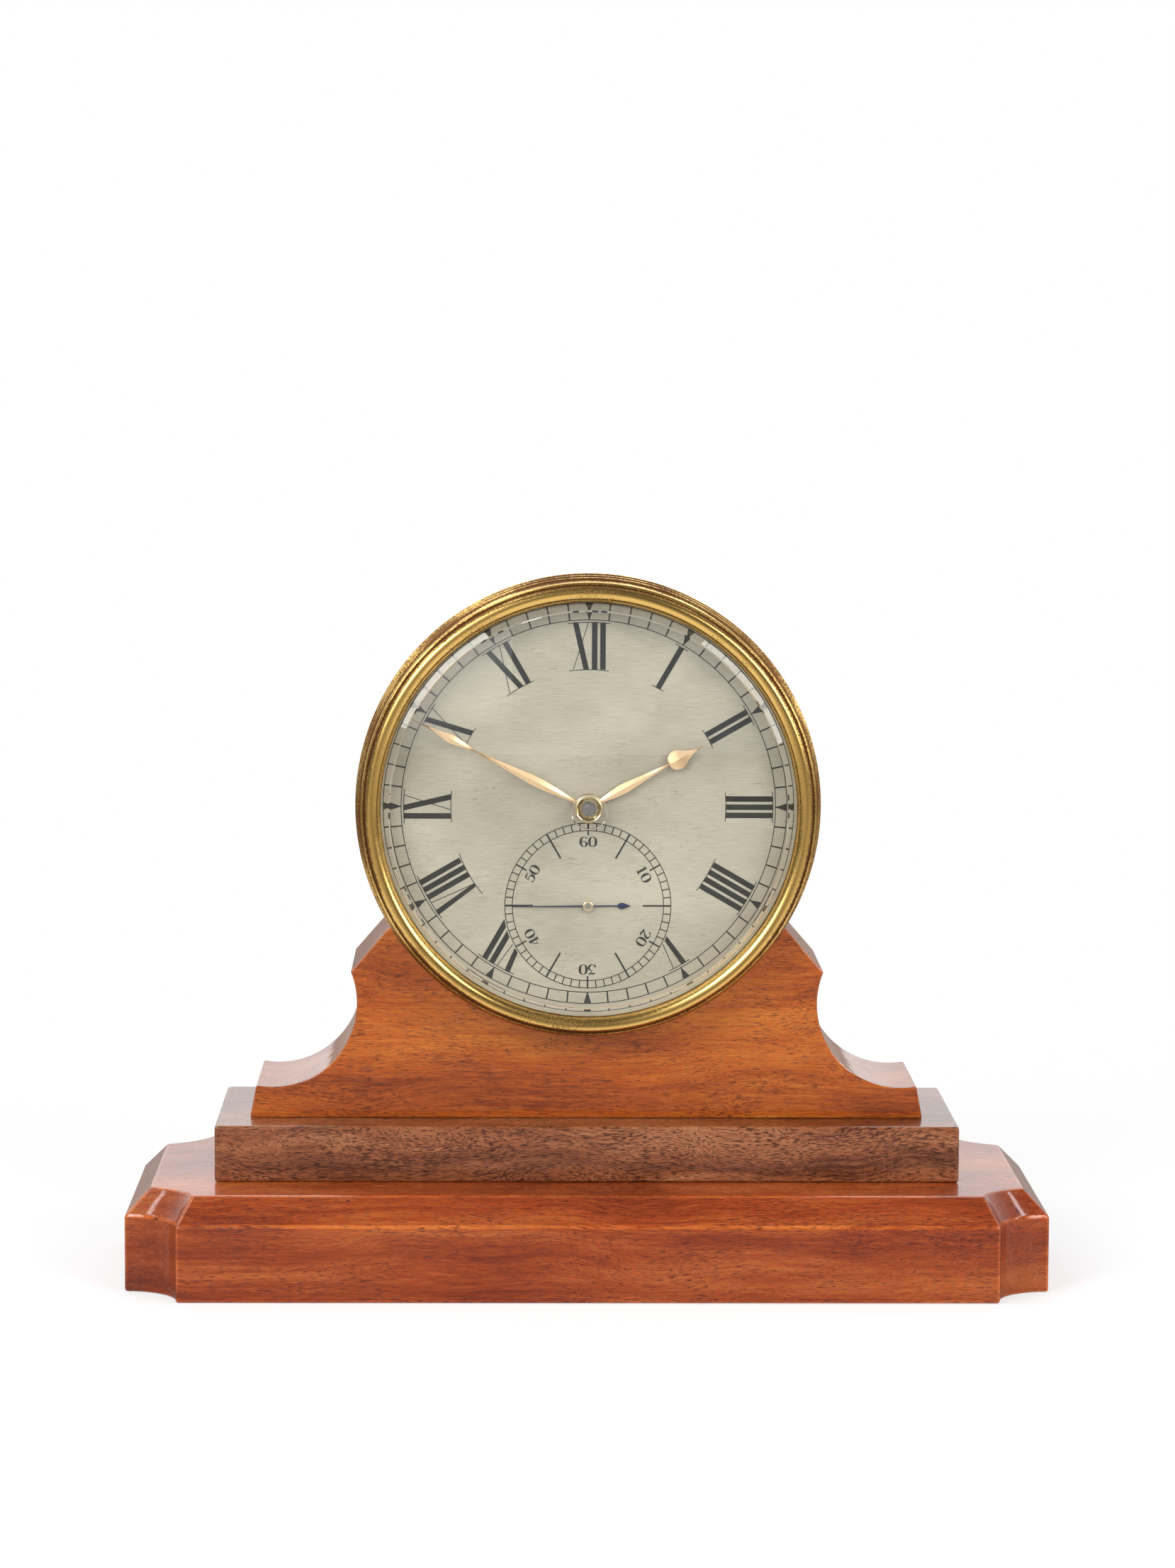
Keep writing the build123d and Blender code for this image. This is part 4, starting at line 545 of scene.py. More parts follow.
@dataclass(frozen=True)
class SilveredBrass(Finish):
    """A brass dial grained along X and silvered by rubbing.

    The grain gives a satin sheen drawn out sideways. The silver has tarnished a little to
    yellow; towards the rim the colour turns darker and greyer in patches. It has small dark
    specks and a few scratches.
    """

    silver: str = "#a49d8f"
    shade_colour: str = "#878174"
    rim: str = "#807e75"
    speck: str = "#4f4b3d"

    def shade(self, tree: Tree) -> bpy.types.NodeSocket:
        """Builds the silvered plate.

        Args:
            tree: The material's tree.

        Returns:
            The shader's output.
        """
        grain = self.pattern(tree, (4.5, 4.5, 0.13), 2, 0.75)
        cloud = self.pattern(tree, (26, 26, 16), 3, 0.5, 2.0)
        mixed = tree.add("ShaderNodeMath", {0: grain, 1: 1.2, 2: cloud},
                         operation="MULTIPLY_ADD")
        level = tree.add(
            "ShaderNodeMapRange",
            {"Value": mixed.outputs[0], "From Min": 0.8, "From Max": 1.35})
        colour = tree.mix(level.outputs[0], linear(self.shade_colour), linear(self.silver))
        place = tree.add("ShaderNodeTexCoord").outputs["Object"]
        centred = tree.add(
            "ShaderNodeMapping", {"Vector": place, "Location": (0, -DIAL_Y, -AXIS_Z)})
        # Towards the rim the colour turns darker and greyer, in patches.
        radius = tree.add(
            "ShaderNodeVectorMath", {0: centred.outputs[0]}, operation="LENGTH")
        near_rim = tree.add(
            "ShaderNodeMapRange",
            {"Value": radius.outputs["Value"], "From Min": 0.0405, "From Max": 0.0495,
             "To Max": 0.8})
        patchy = tree.add(
            "ShaderNodeMath", {0: near_rim.outputs[0], 1: cloud}, operation="MULTIPLY")
        rimmed = tree.mix(patchy.outputs[0], colour, linear(self.rim))
        patches = self.pattern(tree, (9, 9, 6), 2, 0.5, 14.0)
        specks = self.pattern(tree, (0.55, 0.55, 0.4), 2, 0.6, 4.0)
        specks = tree.add("ShaderNodeMath", {0: patches, 1: 0.3, 2: specks},
                          operation="MULTIPLY_ADD")
        specks = tree.add(
            "ShaderNodeMapRange",
            {"Value": specks.outputs[0], "From Min": 0.845, "From Max": 0.9, "To Max": 0.8})
        scratches = self.pattern(tree, (3.2, 3.2, 0.12), 1, 0.5, 8.0)
        scratches = tree.add("ShaderNodeMath", {0: patches, 1: 0.3, 2: scratches},
                             operation="MULTIPLY_ADD")
        scratches = tree.add(
            "ShaderNodeMapRange",
            {"Value": scratches.outputs[0], "From Min": 0.81, "From Max": 0.92,
             "To Max": 0.5})
        marks = tree.add(
            "ShaderNodeMath", {0: specks.outputs[0], 1: scratches.outputs[0]},
            operation="MAXIMUM")
        marked = tree.mix(marks.outputs[0], rimmed, linear(self.speck))
        bump = tree.add(
            "ShaderNodeBump", {"Height": grain, "Strength": 0.1, "Distance": 0.00004})
        plate = tree.add(
            "ShaderNodeBsdfPrincipled",
            {"Base Color": marked, "Metallic": 0.35, "Roughness": 0.5,
             "Normal": bump.outputs[0]})
        return plate.outputs[0]


@dataclass(frozen=True)
class BlackWax(Finish):
    """Black engraver's wax in cut lines: matt, a little grey where it has worn."""

    colour: str = "#0a0b0d"
    worn: str = "#25272a"

    def shade(self, tree: Tree) -> bpy.types.NodeSocket:
        """Builds the wax.

        Args:
            tree: The material's tree.

        Returns:
            The shader's output.
        """
        wear = self.pattern(tree, (1.6, 1.6, 0.5), 3, 0.6, 6.0)
        level = tree.add(
            "ShaderNodeMapRange",
            {"Value": wear, "From Min": 0.52, "From Max": 0.78, "To Max": 0.8})
        colour = tree.mix(level.outputs[0], linear(self.colour), linear(self.worn))
        wax = tree.add(
            "ShaderNodeBsdfPrincipled",
            {"Base Color": colour, "Roughness": 0.7, "IOR": 1.45, "Specular IOR Level": 0.3})
        return wax.outputs[0]


@dataclass(frozen=True)
class CrownGlass(Finish):
    """Clear crown glass, ground and polished: sharp reflections and hardly any colour."""

    tint: str = "#fdfefc"

    def shade(self, tree: Tree) -> bpy.types.NodeSocket:
        """Builds the glass, which lets lamp light straight through to the dial.

        Args:
            tree: The material's tree.

        Returns:
            The shader's output.
        """
        wave = self.pattern(tree, (30, 30, 30), 1)
        bump = tree.add(
            "ShaderNodeBump", {"Height": wave, "Strength": 0.05, "Distance": 0.0005})
        glass = tree.add(
            "ShaderNodeBsdfPrincipled",
            {"Base Color": linear(self.tint), "Roughness": 0.0, "IOR": 1.5,
             "Transmission Weight": 1.0, "Normal": bump.outputs[0]})
        clear = tree.add("ShaderNodeBsdfTransparent", {"Color": linear(self.tint)})
        path = tree.add("ShaderNodeLightPath")
        mixed = tree.add(
            "ShaderNodeMixShader",
            {0: path.outputs["Is Shadow Ray"], 1: glass.outputs[0], 2: clear.outputs[0]})
        return mixed.outputs[0]


# Mahogany, sawn along the grain, stained red and French polished: deep orange-brown under a
# clear gloss, with short dark pores, dents, and arrises where the polish has worn pale.
BASE_WOOD = FrenchPolishedMahogany("base_mahogany_french_polished")
# The same wood from a plainer, greyer board, with more open pores and a curling figure.
PLINTH_WOOD = FrenchPolishedMahogany(
    "plinth_mahogany_french_polished", deep="#532a17", middle="#884f31", pale="#a26d49",
    arris="#a5744c", pore="#32160d", streak_mm=6.0, bend_mm=4.0, pore_level=0.525,
    pore_length_mm=1.8, pore_width_mm=0.24, pore_strength=0.8, arris_share=0.2, shift=120.0)
# The same wood from an even, lighter board, stained more yellow.
BRACKET_WOOD = FrenchPolishedMahogany(
    "bracket_mahogany_french_polished", deep="#6b290b", middle="#a04c16", pale="#bd6c25",
    arris="#c88340", pore="#45200e", streak_mm=14.0, pore_level=0.58, pore_length_mm=2.2,
    pore_width_mm=0.16, pore_strength=0.7, dent_level=0.68, arris_share=0.2, shift=260.0)
# Brass, turned and gilt: bright on the crests, brown in the grooves where the gilding is worn.
BEZEL_BRASS = TurnedMetal(
    "bezel_gilt_brass_turned", colour="#dcb468", tarnish="#5f3517", tarnish_level=0.56,
    spot_mm=0.38, roughness=0.22, line_mm=0.16, line_depth=0.05)
# Brass, spun and turned, left ungilt: satin, with coarser rings.
DRUM_BRASS = TurnedMetal(
    "drum_brass_turned", colour="#c9a45c", tarnish="#6d4f2a", roughness=0.3, line_mm=0.5)
# Brass, rolled, grained and lacquered.
PLATE_BRASS = Metal("movement_plate_brass_grained", colour="#d8b466", roughness=0.3)
# Brass, cut and polished.
WHEEL_BRASS = Metal("movement_wheel_brass_polished", colour="#dfbf74", roughness=0.22)
# Brass, turned and burnished: nearly a mirror, pale under the glass.
HUB_BRASS = Metal(
    "hub_brass_polished", colour="#e8dcb8", tarnish="#7d6240", roughness=0.12,
    tarnish_level=0.75)
# Red gold, filed to two facets and polished: one facet bright, the other dark.
HAND_GOLD = Metal(
    "hand_gold_polished", colour="#ecc9a0", tarnish="#8d6644", roughness=0.2,
    tarnish_level=0.74, spot_mm=0.35)
# Steel, polished and blued by heat: nearly black until it catches a lamp.
BLUED_STEEL = Metal(
    "seconds_steel_heat_blued", colour="#2b3550", tarnish="#1a1d26", roughness=0.3)
# Steel, hardened and polished: grey, with small dull spots.
POLISHED_STEEL = Metal(
    "steel_polished", colour="#b9bab8", tarnish="#6f6a62", roughness=0.22)
# Spring steel, rolled and tempered: a thin grey blue.
SPRING_STEEL = Metal(
    "spring_steel_blued", colour="#4b5568", tarnish="#2a2a30", roughness=0.32)
# Brass, grained along X and silvered by rubbing: satin and faintly yellow.
SILVERED = SilveredBrass("dial_brass_silvered_and_grained")
# Engraver's wax, melted into the cuts: matt black.
WAX = BlackWax("dial_engraving_black_wax")
# Crown glass, bent, ground and polished: clear and sharp, doubled at its bevel.
GLASS = CrownGlass("crown_glass_polished")


class Shape:
    """A mesh under construction, in millimetres."""

    def __init__(self) -> None:
        """Starts with nothing."""
        self.mesh = bmesh.new()
        self.arris = self.mesh.verts.layers.float.new("arris")
        # Painted shade: a share of darkening for hollows where shade falls.
        self.grime = self.mesh.verts.layers.float.new("grime")
        self.recess = self.mesh.verts.layers.float.new("recess")

    def rings(self, rings: list[list[Vector]], capped: bool = True) -> "Shape":
        """Joins closed rings of equal count, in order.

        Args:
            rings: The rings' points.
            capped: Whether the first and last ring are closed with a face.

        Returns:
            The shape itself.
        """
        made = [[self.mesh.verts.new(point) for point in ring] for ring in rings]
        for lower, upper in zip(made, made[1:]):
            count = len(lower)
            for index in range(count):
                after = (index + 1) % count
                self.mesh.faces.new((lower[index], lower[after], upper[after], upper[index]))
        if capped:
            self.mesh.faces.new(list(reversed(made[0])))
            self.mesh.faces.new(made[-1])
        return self

    def prism(self, outline: list[Point], low: float, high: float) -> "Shape":
        """Stands a flat outline up between two heights."""
        return self.rings([[Vector((x, y, z)) for x, y in outline] for z in (low, high)])

    def lathe(
        self, profile: list[Point], centre: Point = (0.0, 0.0), segments: int = 96,
        recess_at: list[tuple[float, float, float]] | None = None,
    ) -> "Shape":
        """Turns a closed profile round an upright axis.

        Args:
            profile: Radius and height of each point; a radius of 0 makes a pole.
            centre: The axis.
            segments: Steps round the axis.
            recess_at: Radius, height and reach of hollows that hold tarnish.

        Returns:
            The shape itself.
        """
        made = []
        for radius, height in profile:
            hollow = 0.0
            for r, z, reach in recess_at or []:
                gap = math.hypot(radius - r, height - z)
                hollow = max(hollow, 1 - gap / reach)
            ring = []
            for step in range(segments if radius else 1):
                x, y = polar(radius, 360 * step / segments, centre)
                vert = self.mesh.verts.new((x, y, height))
                vert[self.recess] = hollow
                ring.append(vert)
            made.append(ring if radius else ring * segments)
        for lower, upper in zip(made, made[1:] + made[:1]):
            if lower[0] is lower[1] and upper[0] is upper[1]:
                continue
            for index in range(segments):
                after = (index + 1) % segments
                corners = (lower[index], lower[after], upper[after], upper[index])
                self.mesh.faces.new(list(dict.fromkeys(corners)))
        return self

    def disc(
        self, radius: float, low: float, high: float, centre: Point = (0.0, 0.0),
        segments: int = 48,
    ) -> "Shape":
        """Adds a plain round bar."""
        outline = [polar(radius, 360 * i / segments, centre) for i in range(segments)]
        return self.prism(outline, low, high)

    def ease(self, width: float, steps: int = 3, least_angle: float = 28.0) -> "Shape":
        """Rounds the arrises and marks them, so that the finish can wear them.

        Args:
            width: The rounding's width.
            steps: Faces across it.
            least_angle: Edges that turn by less than this are left.

        Returns:
            The shape itself.
        """
        bmesh.ops.recalc_face_normals(self.mesh, faces=self.mesh.faces[:])
        sharp = [
            edge for edge in self.mesh.edges
            if len(edge.link_faces) == 2
            and math.degrees(edge.calc_face_angle(0.0)) > least_angle
        ]
        made = bmesh.ops.bevel(
            self.mesh, geom=sharp, offset=width, segments=steps, profile=0.6,
            affect="EDGES", clamp_overlap=True)
        new_faces = set(made["faces"])
        for vert in self.mesh.verts:
            if vert.link_faces and all(face in new_faces for face in vert.link_faces):
                vert[self.arris] = 1.0
        return self

    def piece(
        self, name: str, finish: Finish, body: str, place: Place = Place.CLOCK,
        nodes: tuple[str, ...] = (), slot: str | None = None, crease: float = 35.0,
        weighted: bool = False, cuts: list["Shape"] | None = None,
    ) -> bpy.types.Object:
        """Makes the shape a piece of the object.

        Args:
            name: The piece's name.
            finish: Its finish.
            body: The body it rides on.
            place: The frame it was drawn in.
            nodes: CAD nodes that it stands for.
            slot: The record's material slot; not used.
            crease: Edges that turn by more than this stay sharp.
            weighted: Whether large faces keep their shading flat.
            cuts: Shapes cut out of it.

        Returns:
            The piece's object.
        """
        obj = self.plain(name, finish, place)
        for index, cut in enumerate(cuts or []):
            tool = cut.plain(f"{name}_cut_{index}", finish, place)
            modifier = obj.modifiers.new("cut", "BOOLEAN")
            modifier.operation, modifier.object, modifier.solver = "DIFFERENCE", tool, "EXACT"
            settle(obj)
            bpy.data.objects.remove(tool)
        smooth(obj, crease)
        if weighted:
            modifier = obj.modifiers.new("flat", "WEIGHTED_NORMAL")
            modifier.keep_sharp = True
            settle(obj)
        return take(obj, body, nodes)

    def plain(self, name: str, finish: Finish, place: Place) -> bpy.types.Object:
        """Makes the shape a plain object at the origin, with its place in its mesh.

        Args:
            name: The object's name.
            finish: Its finish.
            place: The frame it was drawn in.

        Returns:
            The object.
        """
        bmesh.ops.remove_doubles(self.mesh, verts=self.mesh.verts[:], dist=1e-5)
        bmesh.ops.recalc_face_normals(self.mesh, faces=self.mesh.faces[:])
        bmesh.ops.transform(self.mesh, matrix=PLACES[place], verts=self.mesh.verts[:])
        mesh = bpy.data.meshes.new(name)
        self.mesh.to_mesh(mesh)
        self.mesh.free()
        mesh.materials.append(finish.material())
        obj = bpy.data.objects.new(name, mesh)
        bpy.context.scene.collection.objects.link(obj)
        return obj


def smooth(obj: bpy.types.Object, crease: float) -> None:
    """Shades an object smooth between its sharp edges.

    Args:
        obj: The object.
        crease: Edges that turn by more than this, in degrees, are sharp.
    """
    mesh = bmesh.new()
    mesh.from_mesh(obj.data)
    for face in mesh.faces:
        face.smooth = True
    for edge in mesh.edges:
        turn = math.degrees(edge.calc_face_angle(0.0)) if len(edge.link_faces) == 2 else 0
        edge.smooth = turn <= crease
    mesh.to_mesh(obj.data)
    mesh.free()


def settle(obj: bpy.types.Object) -> None:
    """Turns an object's modifiers into plain mesh.

    Args:
        obj: The object.
    """
    bpy.context.view_layer.update()
    shown = obj.evaluated_get(bpy.context.evaluated_depsgraph_get())
    mesh = bpy.data.meshes.new_from_object(shown)
    obj.modifiers.clear()
    obj.data = mesh


def take(
    obj: bpy.types.Object, body: str, nodes: tuple[str, ...] = ()
) -> bpy.types.Object:
    """Makes an object a piece that rides on a body.

    Args:
        obj: The object.
        body: The body's name.
        nodes: CAD nodes that it stands for.

    Returns:
        The object.
    """
    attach(obj, body)
    if nodes:
        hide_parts(*nodes)
    LOG.info("%s rides on %s, %d faces", obj.name, body, len(obj.data.polygons))
    return obj


@dataclass
class RingOfShapes:
    """A shape repeated round an axis by Geometry Nodes."""

    count: int
    start_degrees: float = 0.0

    def build_tree(self) -> bpy.types.NodeTree:
        """Builds the tree, whose inputs are the shape, the count, the start and the material.

        Returns:
            The tree, made once.
        """
        group = bpy.data.node_groups.get("ring_of_shapes")
        if group:
            return group
        group = bpy.data.node_groups.new("ring_of_shapes", "GeometryNodeTree")
        sockets = (("Shape", "NodeSocketObject"), ("Count", "NodeSocketInt"),
                   ("Start", "NodeSocketFloat"), ("Material", "NodeSocketMaterial"))
        group.interface.new_socket("Geometry", in_out="INPUT", socket_type="NodeSocketGeometry")
        for name, kind in sockets:
            group.interface.new_socket(name, in_out="INPUT", socket_type=kind)
        group.interface.new_socket("Geometry", in_out="OUTPUT",
                                   socket_type="NodeSocketGeometry")
        tree = Tree(group)
        given = tree.add("NodeGroupInput").outputs
        points = tree.add("GeometryNodePoints", {"Count": given["Count"]})
        step = tree.add("ShaderNodeMath", {0: math.tau, 1: given["Count"]}, operation="DIVIDE")
        index = tree.add("GeometryNodeInputIndex")
        turn = tree.add(
            "ShaderNodeMath", {0: index.outputs[0], 1: step.outputs[0], 2: given["Start"]},
            operation="MULTIPLY_ADD")
        rotation = tree.add("ShaderNodeCombineXYZ", {"Z": turn.outputs[0]})
        shape = tree.add("GeometryNodeObjectInfo", {"Object": given["Shape"]},
                         transform_space="ORIGINAL")
        placed = tree.add(
            "GeometryNodeInstanceOnPoints",
            {"Points": points.outputs[0], "Instance": shape.outputs["Geometry"],
             "Rotation": rotation.outputs[0]})
        real = tree.add("GeometryNodeRealizeInstances", {0: placed.outputs[0]})
        dressed = tree.add(
            "GeometryNodeSetMaterial",
            {"Geometry": real.outputs[0], "Material": given["Material"]})
        tree.add("NodeGroupOutput", {0: dressed.outputs[0]})
        return group

    def repeat(self, name: str, shape: Shape, finish: Finish, centre: Point) -> bpy.types.Object:
        """Repeats a shape drawn in millimetres at twelve o'clock round the origin.

        Args:
            name: The new object's name.
            shape: The shape.
            finish: Its finish.
            centre: The axis, on the dial.

        Returns:
            The object, in place in the clock.
        """
        bmesh.ops.recalc_face_normals(shape.mesh, faces=shape.mesh.faces[:])
        source_mesh = bpy.data.meshes.new(name + "_shape")
        shape.mesh.to_mesh(source_mesh)
        shape.mesh.free()
        source = bpy.data.objects.new(name + "_shape", source_mesh)
        bpy.context.scene.collection.objects.link(source)
        obj = bpy.data.objects.new(name, bpy.data.meshes.new(name))
        bpy.context.scene.collection.objects.link(obj)
        modifier = obj.modifiers.new("ring", "NODES")
        group = self.build_tree()
        modifier.node_group = group
        values = {"Shape": source, "Count": self.count,
                  "Start": math.radians(self.start_degrees), "Material": finish.material()}
        for item in group.interface.items_tree:
            if item.item_type == "SOCKET" and item.in_out == "INPUT" and item.name in values:
                modifier[item.identifier] = values[item.name]
        settle(obj)
        shift = Matrix.Translation((centre[0], centre[1], 0))
        obj.data.transform(PLACES[Place.CLOCK] @ shift)
        bpy.data.objects.remove(source)
        return obj


@dataclass
class Stand:
    """The three mahogany tiers."""

    base_size: tuple[float, float, float] = (216.8, 88.0, 24.2)
    base_shoulder: float = 18.0
    base_top_inset: float = 6.0
    hollow_radius: float = 12.8
    hollow_top_inset: float = 4.6
    scoop_centre: Point = (74.9, 27.6)
    scoop_radius: float = 20.2
    shoulder_rise: float = 35.2
    foot_half_width: float = 80.1
    foot_top_half_width: float = 78.6
    facet_degrees: float = 49.0
    axis_rise: float = 75.0
    saddle_radius: float = 51.35

    def corner_ring(self, inset: float, hollow: float, height: float) -> list[Vector]:
        """Draws the base's plan at one height, with a hollow at each corner.

        Args:
            inset: How far the sides stand in from the lower plan.
            hollow: The hollows' radius.
            height: The ring's height.

        Returns:
            The ring's points, anticlockwise from above.
        """
        half_x, half_y = self.base_size[0] / 2, self.base_size[1] / 2
        reach = math.degrees(math.asin(inset / hollow))
        steps = 14
        ring = []
        for corner_x, corner_y, start in ((1, 1, 270), (-1, 1, 0), (-1, -1, 90), (1, -1, 180)):
            for step in range(steps + 1):
                share = step / steps
                angle = start - reach - share * (90 - 2 * reach)
                x, y = polar(hollow, angle, (corner_x * half_x, corner_y * half_y))
                ring.append(Vector((x, y, height)))
        return ring

    def base(self) -> None:
        """Makes the base block: a chamfer all round and a hollow at each corner."""
        shape = Shape()
        top = self.hollow_radius + self.hollow_top_inset
        shape.rings([
            self.corner_ring(0.0, self.hollow_radius, 0.0),
            self.corner_ring(0.0, self.hollow_radius, self.base_shoulder),
            self.corner_ring(self.base_top_inset, top, self.base_size[2]),
        ])
        shape.ease(0.7)
        half_x, half_y = self.base_size[0] / 2, self.base_size[1] / 2
        # Painted shade: the wood in the corner hollows is darkened towards its deep colour.
        for vert in shape.mesh.verts:
            gap = math.hypot(half_x - abs(vert.co.x), half_y - abs(vert.co.y))
            if gap < top + 0.4 and not vert[shape.arris]:
                vert[shape.grime] = 0.45
        shape.piece("base_block_polished", BASE_WOOD, "case", Place.STAND, ("base_block",),
                    "base_mahogany", weighted=True)

    def plinth(self) -> None:
        """Makes the plinth: a plain slab with eased edges."""
        low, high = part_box("plinth")
        low, high = low / MM, high / MM
        shape = Shape()
        outline = [(low.x, low.y), (high.x, low.y), (high.x, high.y), (low.x, high.y)]
        shape.prism(outline, low.z, high.z)
        shape.ease(0.9, 4)
        shape.piece("plinth_polished", PLINTH_WOOD, "case", Place.STAND, ("plinth",),
                    "plinth_mahogany", weighted=True)

    def bracket_outline(self) -> list[Point]:
        """Draws the bracket's front: scooped sides, pointed shoulders and a round saddle.

        Returns:
            The outline's points across and up, from the foot's middle.
        """
        cx, cz = self.scoop_centre
        low = -math.degrees(math.acos((self.foot_top_half_width - cx) / self.scoop_radius))
        high = 180 - math.degrees(math.asin((self.shoulder_rise - cz) / self.scoop_radius)) - 360
        right = [(self.foot_half_width, 0.0)]
        for step in range(41):
            angle = low + (high - low) * step / 40
            right.append(polar(self.scoop_radius, angle, self.scoop_centre))
        tip = right[-1]
        slope = math.tan(math.radians(self.facet_degrees))
        offset = tip[1] + slope * tip[0] - self.axis_rise
        square, middle, rest = (
            1 + slope**2, -2 * slope * offset, offset**2 - self.saddle_radius**2)
        root = math.sqrt(middle**2 - 4 * square * rest)
        meets = [(-middle - root) / (2 * square), (-middle + root) / (2 * square)]
        meet_x = max(x for x in meets if x < tip[0])
        meet = (meet_x, tip[1] + slope * (tip[0] - meet_x))
        start = math.degrees(math.atan2(meet[1] - self.axis_rise, meet[0]))
        steps = 72
        saddle = []
        for step in range(steps + 1):
            angle = start + (-180 - 2 * start) * step / steps
            saddle.append(polar(self.saddle_radius, angle, (0.0, self.axis_rise)))
        left = [(-x, z) for x, z in reversed(right)]
        return right + saddle + left

    def bracket(self) -> None:
        """Makes the bracket that cradles the drum."""
        low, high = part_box("bracket")
        low, high = low / MM, high / MM
        outline = self.bracket_outline()
        shape = Shape()
        shape.rings([[Vector((x, y, z + low.z)) for x, z in outline] for y in (low.y, high.y)])
        shape.ease(0.55)
        shape.piece("bracket_polished", BRACKET_WOOD, "case", Place.STAND, ("bracket",),
                    "bracket_mahogany", weighted=True)

    def build(self) -> None:
        """Makes the three tiers and dresses their screws."""
        self.base()
        self.plinth()
        self.bracket()
        dress(POLISHED_STEEL, "stand_screws")


def dress(finish: Finish, *nodes: str) -> None:
    """Gives CAD nodes a finish.

    Args:
        finish: The finish.
        *nodes: The nodes' names.
    """
    for name in nodes:
        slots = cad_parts[name].data.materials
        slots.clear()
        slots.append(finish.material())
        LOG.info("%s is dressed in %s", name, finish.name)


